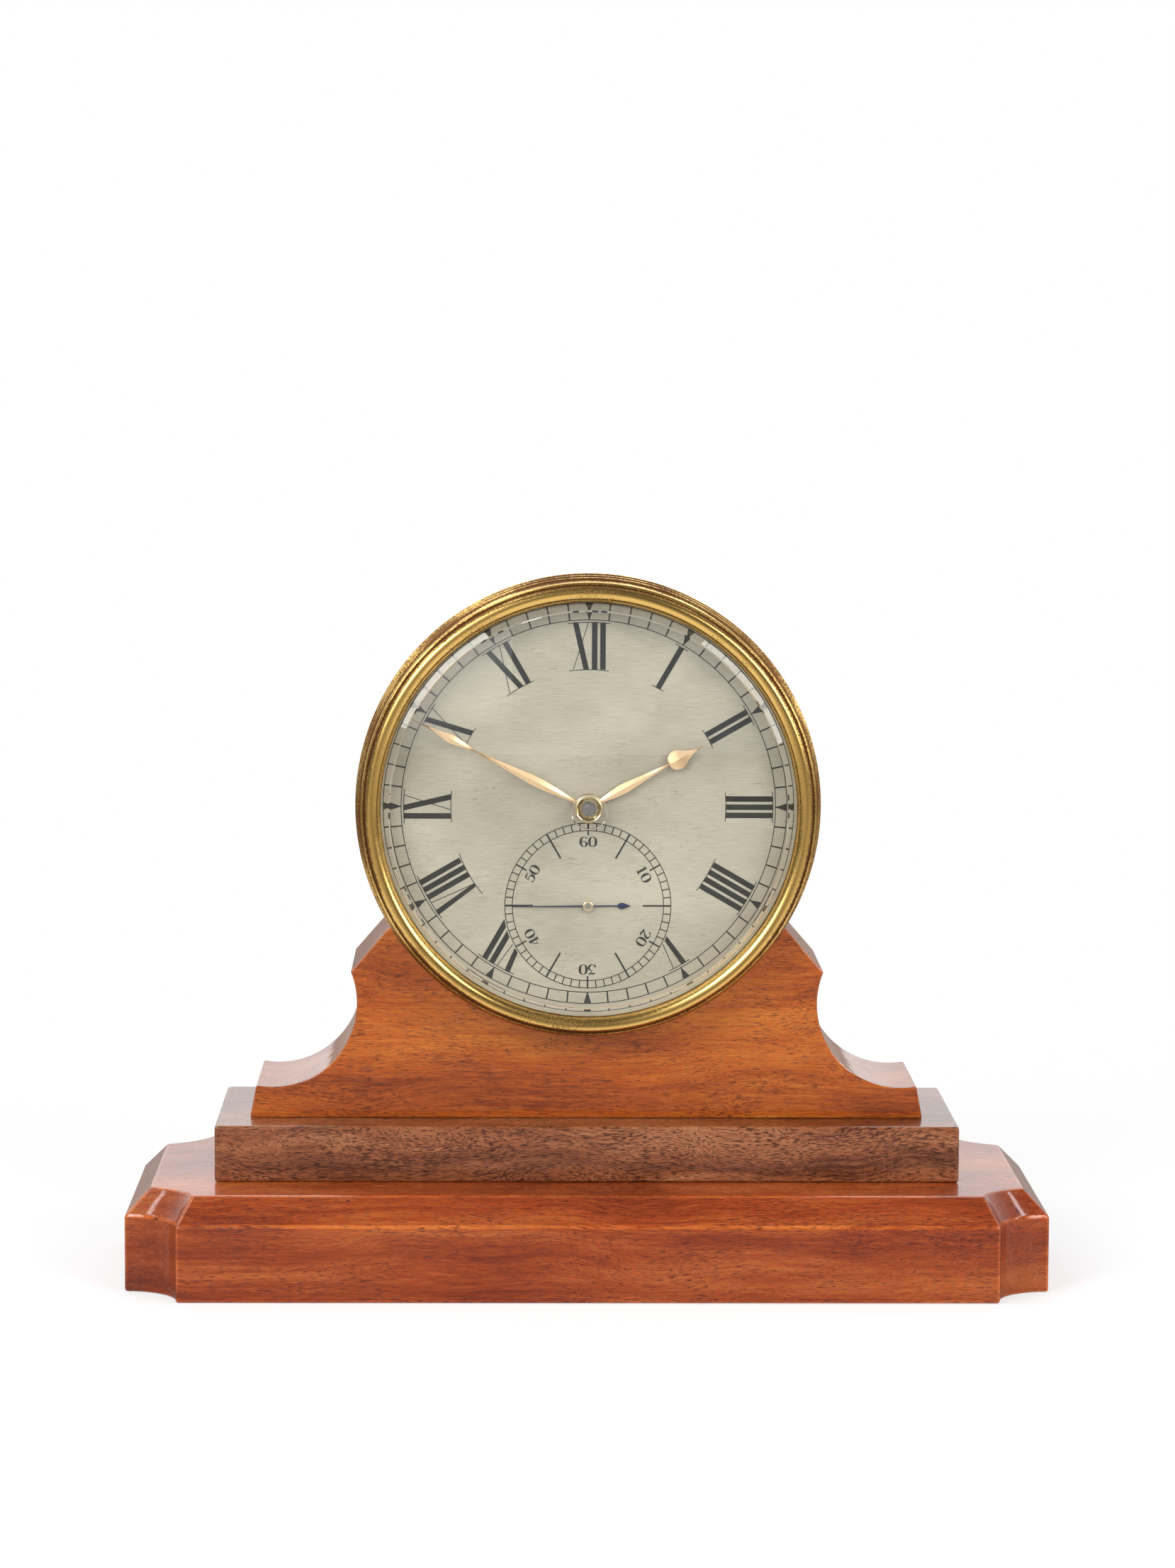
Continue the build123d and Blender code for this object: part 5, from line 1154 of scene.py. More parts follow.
@dataclass
class Case:
    """The drum, the bezel and the glass."""

    drum_radius: float = 51.3
    drum_inner: float = 49.9
    rim_z: float = 3.0
    back_z: float = -50.0
    back_wall: float = 2.0
    hole_radius: float = 4.5
    bezel_segments: int = 256
    glass_hole: float = 4.0
    glass_rim: float = 46.6
    glass_thickness: float = 1.5
    glass_crown: float = 12.2
    glass_rise: float = 2.35
    shutter_radius: float = 6.5
    shutter_eye: float = 3.4
    knob_share: float = 0.55

    def drum(self) -> None:
        """Makes the drum with its ledge and the winding hole."""
        profile = rounded([
            (0.0, self.back_z, 0), (self.drum_radius, self.back_z, 3.0),
            (self.drum_radius, self.rim_z, 0.3), (self.drum_inner, self.rim_z, 0.2),
            (self.drum_inner, -8.1, 0), (47.5, -8.1, 0), (47.5, -10.1, 0),
            (self.drum_inner, -10.1, 0), (self.drum_inner, self.back_z + self.back_wall, 1.0),
            (0.0, self.back_z + self.back_wall, 0)], 8)
        shape = Shape().lathe(profile, segments=160)
        cut = Shape().disc(
            self.hole_radius, self.back_z - 1, self.back_z + 3, node_centre("fusee_arbor"), 64)
        shape.piece("drum_turned", DRUM_BRASS, "case", nodes=("drum",), slot="drum_brass",
                    cuts=[cut])

    def bezel(self) -> None:
        """Makes the moulded bezel: reeds, a groove, a bead, a broad band and a lip."""
        profile = rounded([
            (51.42, -2.6, 0.05), (54.6, -2.6, 0.2), (55.0, -2.2, 0.35), (55.0, -1.1, 0.4),
            (54.55, -0.75, 0.1), (54.66, -0.35, 0.3), (54.66, 0.9, 0.35),
            (54.2, 1.25, 0.1), (54.28, 1.65, 0.3), (54.28, 2.9, 0.35),
            (53.7, 3.3, 0.15), (53.25, 4.6, 0.5), (53.2, 6.5, 0.3),
            (53.5, 6.9, 0.4), (53.5, 7.7, 0.5), (53.0, 8.15, 0.4), (52.72, 7.95, 0.1),
            (52.66, 8.3, 0.3), (52.45, 8.95, 0.5), (51.9, 9.45, 0.5), (51.2, 9.6, 0.5),
            (50.4, 9.5, 0.5), (49.7, 9.1, 0.5), (49.2, 8.5, 0.4), (48.95, 7.8, 0.1),
            (48.95, 7.66, 0.05),
            (49.96, 7.66, 0.0), (49.96, 3.2, 0.0), (51.42, 3.2, 0.0)], 6)
        hollows = [(54.4, -0.75, 1.0), (54.1, 1.25, 1.0), (53.6, 3.3, 1.3), (53.0, 5.6, 2.2),
                   (52.7, 7.95, 0.6), (52.7, 8.7, 1.15), (48.9, 7.8, 0.5)]
        Shape().lathe(profile, segments=self.bezel_segments, recess_at=hollows).piece(
            "bezel_moulded", BEZEL_BRASS, "bezel_assembly", nodes=("bezel",),
            slot="bezel_brass", crease=50)

    def dome(self, radius: float) -> float:
        """Gives the height of the glass's outer face at a radius."""
        return self.glass_crown - self.glass_rise * (radius / self.glass_rim) ** 2

    def glass(self) -> None:
        """Makes the convex glass with its bevelled edge and drilled hole."""
        rim, hole_edge, steps = self.glass_rim, self.glass_hole + 0.2, 24
        outer, inner = [(48.78, 7.5), (rim, 9.85)], []
        for step in range(1, steps + 1):
            radius = rim + (hole_edge - rim) * step / steps
            outer.append((radius, self.dome(radius)))
        for step in range(steps + 1):
            radius = hole_edge + (rim - hole_edge) * step / steps
            inner.append((radius, self.dome(radius) - self.glass_thickness))
        low = self.glass_crown - self.glass_thickness
        hole = [(self.glass_hole, self.glass_crown - 0.2), (self.glass_hole, low + 0.2)]
        profile = [(49.88, 5.92), (49.88, 7.5)] + outer + hole + inner
        profile += [(48.75, 6.95), (49.0, 5.92)]
        Shape().lathe(profile, segments=192).piece(
            "glass_bevelled", GLASS, "bezel_assembly", nodes=("glass",), slot="glass",
            crease=12)

    def shutter(self) -> None:
        """Makes the dust shutter with its knob, and its screw with a driver's slot."""
        hole, pivot = node_centre("fusee_arbor"), node_centre("shutter_screw")
        reach = math.dist(hole, pivot)
        line = math.degrees(math.atan2(pivot[1] - hole[1], pivot[0] - hole[0]))
        cover, eye = self.shutter_radius, self.shutter_eye
        lean = math.degrees(math.asin((cover - eye) / reach))
        outline = [polar(cover, line + 90 - lean + a * (180 + 2 * lean) / 40, hole)
                   for a in range(41)]
        outline += [polar(eye, line - 90 + lean + a * (180 - 2 * lean) / 24, pivot)
                    for a in range(25)]
        low, high = self.back_z - 1.0, self.back_z - 0.1
        plate = Shape().prism(outline, low, high)
        plate.ease(0.2, 2, 50)
        eye_cut = Shape().disc(1.56, low - 1, high + 1, pivot, 48)
        plate.piece("dust_shutter_plate", DRUM_BRASS, "shutter_assembly",
                    nodes=("dust_shutter",), slot="drum_brass", cuts=[eye_cut])
        knob_place = polar(self.knob_share * cover, line + 180, hole)
        knob = rounded([(0.0, low + 0.1, 0), (0.6, low + 0.1, 0), (0.6, low - 0.5, 0.2),
                        (1.1, low - 0.9, 0.2), (1.1, low - 1.7, 0.3), (0.7, low - 2.0, 0.2),
                        (0.0, low - 2.0, 0)])
        Shape().lathe(knob, knob_place, 40).piece(
            "dust_shutter_knob", DRUM_BRASS, "shutter_assembly", slot="drum_brass")
        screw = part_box("shutter_screw")
        back, front = -(screw[1].y - DIAL_Y) / MM, -(screw[0].y - DIAL_Y) / MM
        body = rounded([(0.0, back, 0), (2.5, back, 0.3), (2.8, back + 0.35, 0.3),
                        (2.8, back + 1.2, 0.1), (1.5, back + 1.2, 0), (1.5, front, 0),
                        (0.0, front, 0)])
        slot = Shape().prism([(pivot[0] - 4, pivot[1] - 0.3), (pivot[0] + 4, pivot[1] - 0.3),
                              (pivot[0] + 4, pivot[1] + 0.3), (pivot[0] - 4, pivot[1] + 0.3)],
                             back - 1, back + 0.6)
        Shape().lathe(body, pivot, 64).piece(
            "shutter_screw_slotted", POLISHED_STEEL, "case", nodes=("shutter_screw",),
            slot="steel_screw", cuts=[slot])
        dress(SPRING_STEEL, "shutter_spring")

    def build(self) -> None:
        """Makes the drum, the bezel, the glass and the shutter."""
        self.drum()
        self.bezel()
        self.glass()
        self.shutter()
        dress(POLISHED_STEEL, "drum_screws")


class Stroke(Enum):
    """The strokes that Roman numerals are cut with."""

    THICK = 1.32
    HAIR = 0.19


@dataclass
class DialArtwork:
    """The silvered dial plate and everything cut into it."""

    radius: float = 49.5
    thickness: float = 1.0
    lift: float = 0.03
    track_inner: float = 44.1
    track_outer: float = 46.8
    line: float = 0.2
    tick: float = 0.35
    numeral_inner: float = 32.4
    numeral_outer: float = 43.5
    stroke_gap: float = 0.62
    seconds_drop: float = 23.5
    seconds_outer: float = 19.6
    seconds_inner: float = 17.85
    seconds_tick: float = 0.25
    figure_tall: float = 2.4
    figure_wide: float = 3.4
    figure_spread: float = 1.05
    numerals: tuple[str, ...] = ("XII", "I", "II", "III", "IIII", "V", "", "VII", "VIII",
                                 "IX", "X", "XI")

    def plate(self) -> None:
        """Makes the dial plate with its two holes."""
        profile = [(2.8, -self.thickness), (self.radius, -self.thickness), (self.radius, 0.0),
                   (2.8, 0.0)]
        seconds = (0.0, -self.seconds_drop)
        cut = Shape().disc(1.0, -2.0, 1.0, seconds, 32)
        Shape().lathe(profile, segments=192).piece(
            "dial_plate_silvered", SILVERED, "case", nodes=("dial",), slot="silvered_dial",
            cuts=[cut])

    def ring(self, shape: Shape, radius: float, centre: Point = (0.0, 0.0)) -> None:
        """Adds a cut circle.

        Args:
            shape: The shape to add to.
            radius: The circle's radius.
            centre: Its centre.
        """
        half = self.line / 2
        shape.lathe([(radius - half, -0.02), (radius + half, -0.02),
                     (radius + half, self.lift), (radius - half, self.lift)], centre, 256)

    def bar(
        self, shape: Shape, hour_angle: float, start: Point, end: Point, width: float,
        outer_width: float | None = None,
    ) -> None:
        """Adds a straight cut between two places of a radial piece of artwork.

        Args:
            shape: The shape to add to.
            hour_angle: Clock angle of the artwork.
            start: The inner end: distance to the right of the radius, and radius.
            end: The outer end.
            width: The cut's width across the radius.
            outer_width: Its width at the outer end, where that differs.
        """
        half, far = width / 2, (outer_width or width) / 2
        corners = [(start[0] - half, start[1]), (start[0] + half, start[1]),
                   (end[0] + far, end[1]), (end[0] - far, end[1])]
        shape.prism([clock_point(a, o, hour_angle) for a, o in corners], -0.02, self.lift)

    def arc(
        self, shape: Shape, hour_angle: float, radius: float, start: float, end: float
    ) -> None:
        """Adds a serif: a hairline along a circle round the dial's centre.

        Args:
            shape: The shape to add to.
            hour_angle: Clock angle of the numeral.
            radius: The circle's radius.
            start: Left end, as a distance along the circle from the numeral's middle.
            end: Right end.
        """
        steps = 10
        half = Stroke.HAIR.value / 2
        angles = [hour_angle + math.degrees((start + (end - start) * i / steps) / radius)
                  for i in range(steps + 1)]
        outline = [clock_point(0, radius + half, a) for a in angles]
        outline += [clock_point(0, radius - half, a) for a in reversed(angles)]
        shape.prism(outline, -0.02, self.lift)

    def numeral(self, shape: Shape, text: str, hour_angle: float) -> None:
        """Cuts a Roman numeral with its top to the rim.

        Args:
            shape: The shape to add to.
            text: The numeral, of the letters I, V and X.
            hour_angle: Its clock angle.
        """
        thick, hair, gap = Stroke.THICK.value, Stroke.HAIR.value, self.stroke_gap
        widths = {"I": thick, "V": 3.6, "X": 3.9}
        total = sum(widths[c] for c in text) + gap * (len(text) - 1)
        x = -total / 2
        inner, outer = self.numeral_inner, self.numeral_outer
        for letter in text:
            w = widths[letter]
            if letter == "I":
                self.bar(shape, hour_angle, (x + w / 2, inner), (x + w / 2, outer), thick)
            elif letter == "V":
                foot = x + w / 2 + 0.15
                self.bar(shape, hour_angle, (foot, inner), (x + thick / 2, outer), thick * 0.7,
                         thick)
                self.bar(shape, hour_angle, (foot + 0.3, inner), (x + w - hair, outer), hair)
            else:
                left, right = x + thick / 2, x + w - thick / 2
                self.bar(shape, hour_angle, (right, inner), (left, outer), thick)
                self.bar(shape, hour_angle, (x + hair, inner), (x + w - hair, outer), hair)
            x += w + gap
        over = 0.95
        for radius in (inner, outer):
            scale = radius / ((inner + outer) / 2)
            self.arc(shape, hour_angle, radius, -(total / 2 + over) * scale ** 0.2,
                     (total / 2 + over) * scale ** 0.2)

    def engraving(self) -> None:
        """Cuts the circles and the hour numerals, all but those the seconds dial takes."""
        shape = Shape()
        self.ring(shape, self.track_inner)
        self.ring(shape, self.track_outer)
        seconds = (0.0, -self.seconds_drop)
        self.ring(shape, self.seconds_inner, seconds)
        self.ring(shape, self.seconds_outer, seconds)
        shape.piece("dial_circles", WAX, "case", slot="silvered_dial")
        for hour, text in enumerate(self.numerals):
            if not text:
                continue
            shape = Shape()
            self.numeral(shape, text, hour * 30.0)
            guard = Shape().disc(self.seconds_outer + 0.35, -1.0, 1.0, seconds, 192)
            cuts = [guard] if text in ("V", "VII") else []
            shape.piece(f"numeral_{hour or 12}", WAX, "case", slot="silvered_dial", cuts=cuts)

    def ticks(self) -> None:
        """Cuts the minute and second ticks and the hour points, each a ring of one shape."""
        def bar(inner: float, outer: float, width: float) -> Shape:
            half = width / 2
            return Shape().prism([(-half, inner), (half, inner), (half, outer), (-half, outer)],
                                 -0.02, self.lift + 0.004)

        point = Shape().prism([(0.0, self.track_inner - 0.1), (0.85, self.track_outer - 0.25),
                               (0.6, self.track_outer), (-0.6, self.track_outer),
                               (-0.85, self.track_outer - 0.25)], -0.02, self.lift + 0.008)
        seconds = (0.0, -self.seconds_drop)
        inner, outer = self.seconds_inner, self.seconds_outer
        rows = [
            ("minute_ticks", 60, 0.0, bar(self.track_inner, self.track_outer, self.tick),
             (0.0, 0.0)),
            ("hour_points", 12, 0.0, point, (0.0, 0.0)),
            ("second_ticks", 60, 0.0, bar(inner, outer, self.seconds_tick), seconds),
            ("ten_second_ticks", 6, 0.0, bar(inner - 1.1, outer, 0.36), seconds),
            ("five_second_lines", 6, 30.0, bar(inner - 4.9, outer, 0.42), seconds),
        ]
        for name, count, start, shape, centre in rows:
            obj = RingOfShapes(count, start).repeat(name, shape, WAX, centre)
            take(obj, "case", ())

    def figures(self) -> None:
        """Cuts the seconds figures, each with its top to the rim of the seconds dial."""
        for value in range(10, 70, 10):
            shape = Shape()
            angle = value * 6.0
            tens, units = str(value)
            for figure, shift in ((tens, -self.figure_spread),
                                  (units, self.figure_spread)):
                for stroke in FIGURES[figure]:
                    self.ribbon(shape, stroke, shift, angle)
            shape.piece(f"seconds_figure_{value}", WAX, "case", slot="silvered_dial")

    def ribbon(
        self, shape: Shape, stroke: list[tuple[float, float, float]], shift: float,
        hour_angle: float,
    ) -> None:
        """Cuts one stroke of a figure, whose width swells and thins along it.

        Args:
            shape: The shape to add to.
            stroke: Places across and up a figure one unit tall, and the width there.
            shift: How far to the right the figure's middle is.
            hour_angle: The figure's angle on the seconds dial.
        """
        tall, wide = self.figure_tall, self.figure_wide
        base = self.seconds_inner - 3.85
        path = spline(stroke, 8)
        left, right = [], []
        for index, (x, y, w) in enumerate(path):
            before, after = path[max(0, index - 1)], path[min(len(path) - 1, index + 1)]
            run = Vector((after[0] - before[0], after[1] - before[1]))
            side = Vector((-run.y, run.x)).normalized() * (w + 0.01) / 2
            left.append((x + side.x, y + side.y))
            right.append((x - side.x, y - side.y))
        for index in range(len(path) - 1):
            corners = [left[index], left[index + 1], right[index + 1], right[index]]
            placed = []
            for x, y in corners:
                spot = clock_point(shift + x * wide, base + y * tall, hour_angle)
                placed.append((spot[0], spot[1] - self.seconds_drop))
            shape.prism(placed, -0.02, self.lift)

    def build(self) -> None:
        """Makes the plate and cuts it."""
        self.plate()
        self.engraving()
        self.ticks()
        self.figures()


FIGURES: dict[str, list[list[tuple[float, float, float]]]] = {
    "0": [[(0.0, 0.98, 0.05), (0.17, 0.86, 0.11), (0.23, 0.5, 0.17), (0.17, 0.14, 0.11),
           (0.0, 0.02, 0.05), (-0.17, 0.14, 0.11), (-0.23, 0.5, 0.17), (-0.17, 0.86, 0.11),
           (0.0, 0.98, 0.05)]],
    "1": [[(0.02, 0.98, 0.15), (0.02, 0.04, 0.15)], [(-0.16, 0.02, 0.05), (0.2, 0.02, 0.05)],
          [(-0.18, 0.84, 0.04), (-0.05, 0.9, 0.06), (0.02, 0.98, 0.08)]],
    "2": [[(-0.2, 0.74, 0.13), (-0.17, 0.88, 0.06), (0.0, 0.98, 0.06), (0.18, 0.86, 0.13),
           (0.18, 0.66, 0.15), (0.02, 0.38, 0.09), (-0.23, 0.08, 0.05)],
          [(-0.23, 0.06, 0.06), (-0.05, 0.12, 0.13), (0.12, 0.03, 0.13), (0.24, 0.2, 0.04)]],
    "3": [[(-0.22, 0.84, 0.05), (-0.1, 0.92, 0.14), (0.08, 0.9, 0.15), (0.24, 0.98, 0.04)],
          [(0.24, 0.98, 0.04), (-0.02, 0.6, 0.04)],
          [(-0.02, 0.6, 0.04), (0.15, 0.54, 0.09), (0.23, 0.3, 0.15), (0.1, 0.05, 0.09),
           (-0.08, 0.02, 0.05), (-0.21, 0.14, 0.1), (-0.16, 0.26, 0.1)]],
    "4": [[(0.1, 0.98, 0.14), (0.1, 0.04, 0.14)], [(0.1, 0.97, 0.05), (-0.26, 0.3, 0.05)],
          [(-0.26, 0.29, 0.05), (0.26, 0.29, 0.05)], [(-0.04, 0.02, 0.05), (0.24, 0.02, 0.05)]],
    "5": [[(-0.14, 0.96, 0.05), (-0.18, 0.52, 0.05), (-0.02, 0.62, 0.06), (0.17, 0.5, 0.13),
           (0.2, 0.26, 0.16), (0.06, 0.04, 0.08), (-0.1, 0.03, 0.05), (-0.2, 0.18, 0.12)],
          [(-0.14, 0.93, 0.12), (0.04, 0.9, 0.12), (0.18, 1.0, 0.04)]],
    "6": [[(0.19, 0.82, 0.12), (0.12, 0.95, 0.05), (0.0, 0.98, 0.05), (-0.16, 0.82, 0.12),
           (-0.22, 0.44, 0.17), (-0.14, 0.12, 0.1), (0.02, 0.02, 0.05), (0.18, 0.14, 0.12),
           (0.2, 0.34, 0.15), (0.1, 0.5, 0.07), (-0.06, 0.54, 0.05), (-0.18, 0.42, 0.04)]],
}


@dataclass
class Hands:
    """The gold hands, their hub and the blued seconds hand."""

    minute_angle: float = 296.7
    hour_angle: float = 61.5
    seconds_angle: float = 269.5
    seconds_drop: float = 23.5

    def blade(
        self, stations: list[tuple[float, float]], angle: float, back: float, edge: float,
        ridge: float, centre: Point = (0.0, 0.0), steps: int = 6,
    ) -> Shape:
        """Makes a hand with a ridge along its middle.

        Args:
            stations: Distance from the centre and half width.
            angle: Clock angle that it points to.
            back: Height of its flat back.
            edge: Height of its edges.
            ridge: Height of its ridge where it is widest.
            centre: The arbor's place.
            steps: Points between stations.

        Returns:
            The hand's shape.
        """
        path = spline(stations, steps)
        widest = max(w for _, w in stations)
        shape = Shape()
        rows = []
        for out, half in path:
            half = max(half, 0.03)
            rise = edge + (ridge - edge) * min(1.0, 0.35 + 0.65 * half / widest)
            corners = [(-half, back), (half, back), (half, edge), (0.0, rise), (-half, edge)]
            row = []
            for along, height in corners:
                x, y = clock_point(along, out, angle)
                row.append(Vector((x + centre[0], y + centre[1], height)))
            rows.append(row)
        return shape.rings(rows)

    def minute(self) -> None:
        """Makes the minute hand: a swelling shaft, a lozenge and a long point."""
        stations = [(1.0, 0.24), (3.4, 0.32), (6.2, 0.58), (9.0, 0.86), (11.8, 1.1),
                    (14.6, 1.15), (17.4, 0.98), (20.2, 0.75), (23.0, 0.55), (25.8, 0.36),
                    (28.6, 0.21), (30.3, 0.2), (31.4, 0.42), (34.2, 0.82), (36.2, 1.04),
                    (37.9, 0.82), (39.9, 0.42), (42.6, 0.19), (47.9, 0.03)]
        shape = self.blade(stations, self.minute_angle, 3.0, 3.15, 3.58)
        boss = rounded([(1.72, 3.0, 0), (2.5, 3.0, 0.1), (2.5, 3.58, 0.1), (1.72, 3.58, 0)])
        shape.lathe(boss, segments=48)
        shape.piece("minute_hand_ridged", HAND_GOLD, "centre_assembly", nodes=("minute_hand",),
                    slot="hand_gold", crease=20)

    def hour(self) -> None:
        """Makes the hour hand: a swelling shaft and a round-lobed spade."""
        stations = [(1.0, 0.34), (3.6, 0.5), (6.2, 0.9), (9.0, 1.18), (11.8, 1.02),
                    (14.6, 0.76), (17.4, 0.52), (20.2, 0.31), (21.3, 0.26), (21.6, 1.0),
                    (22.2, 1.75), (23.1, 2.22), (24.1, 2.26), (25.0, 1.9), (26.0, 1.3),
                    (27.1, 0.74), (28.5, 0.3), (30.9, 0.03)]
        shape = self.blade(stations, self.hour_angle, 1.5, 1.65, 2.08)
        boss = rounded([(2.46, 1.5, 0), (3.3, 1.5, 0.1), (3.3, 2.08, 0.1), (2.46, 2.08, 0)])
        shape.lathe(boss, segments=48)
        shape.piece("hour_hand_ridged", HAND_GOLD, "hour_assembly", nodes=("hour_hand",),
                    slot="hand_gold", crease=20)

    def seconds(self) -> None:
        """Makes the seconds hand with its leaf counterpoise, and its boss."""
        centre = (0.0, -self.seconds_drop)
        stations = [(-10.1, 0.05), (-9.4, 0.3), (-8.4, 0.68), (-7.7, 0.74), (-7.2, 0.5),
                    (-6.9, 0.2), (-6.4, 0.16), (-1.0, 0.19), (1.0, 0.19), (17.8, 0.1)]
        shape = self.blade(stations, self.seconds_angle, 0.6, 0.72, 0.88, centre)
        shape.piece("seconds_hand_leaf", BLUED_STEEL, "seconds_assembly",
                    nodes=("seconds_hand",), slot="blued_steel", crease=20)
        boss = rounded([(0.28, 0.62, 0), (1.3, 0.62, 0.1), (1.35, 0.95, 0.2), (1.15, 1.3, 0.25),
                        (0.5, 1.3, 0.15), (0.28, 1.1, 0)])
        Shape().lathe(boss, centre, 64).piece(
            "seconds_boss_turned", HUB_BRASS, "seconds_assembly",
            nodes=("seconds_hand_boss",), slot="hub_brass")

    def hub(self) -> None:
        """Makes the polished hub round the setting square."""
        profile = rounded([
            (1.72, 3.6, 0), (2.9, 3.6, 0.1), (3.42, 3.95, 0.35), (3.45, 5.2, 0.5),
            (3.1, 5.88, 0.4), (2.75, 5.7, 0.2), (2.5, 5.1, 0.2), (2.3, 4.6, 0.1),
            (1.72, 4.6, 0)], 8)
        Shape().lathe(profile, segments=96, recess_at=[(2.1, 4.5, 1.0)]).piece(
            "hub_turned", HUB_BRASS, "centre_assembly", nodes=("hand_hub",), slot="hub_brass")

    def build(self) -> None:
        """Makes the three hands and the hub."""
        self.minute()
        self.hour()
        self.seconds()
        self.hub()


class Movement:
    """The works inside the drum, which stay as the CAD has them."""

    def build(self) -> None:
        """Gives every hidden node its metal."""
        dress(PLATE_BRASS, "front_plate", "back_plate", "pillars", "dial_feet", "dial_pins",
              "balance_potence", "balance_cock", "detent_foot")
        dress(WHEEL_BRASS, "centre_wheel", "third_wheel", "fourth_wheel", "escape_wheel",
              "great_wheel", "fusee_cone", "barrel", "barrel_cover", "minute_wheel",
              "hour_wheel", "balance_wheel", "balance_weights")
        dress(POLISHED_STEEL, "centre_arbor", "third_arbor", "fourth_arbor", "escape_arbor",
              "fusee_arbor", "fusee_chain", "barrel_arbor", "setup_ratchet", "ratchet_click",
              "cannon_pinion", "minute_wheel_stud", "balance_staff", "spring_stud", "detent")
        dress(BLUED_STEEL, "plate_screws", "click_screw", "cock_screw", "balance_spring")
        dress(SPRING_STEEL, "mainspring")


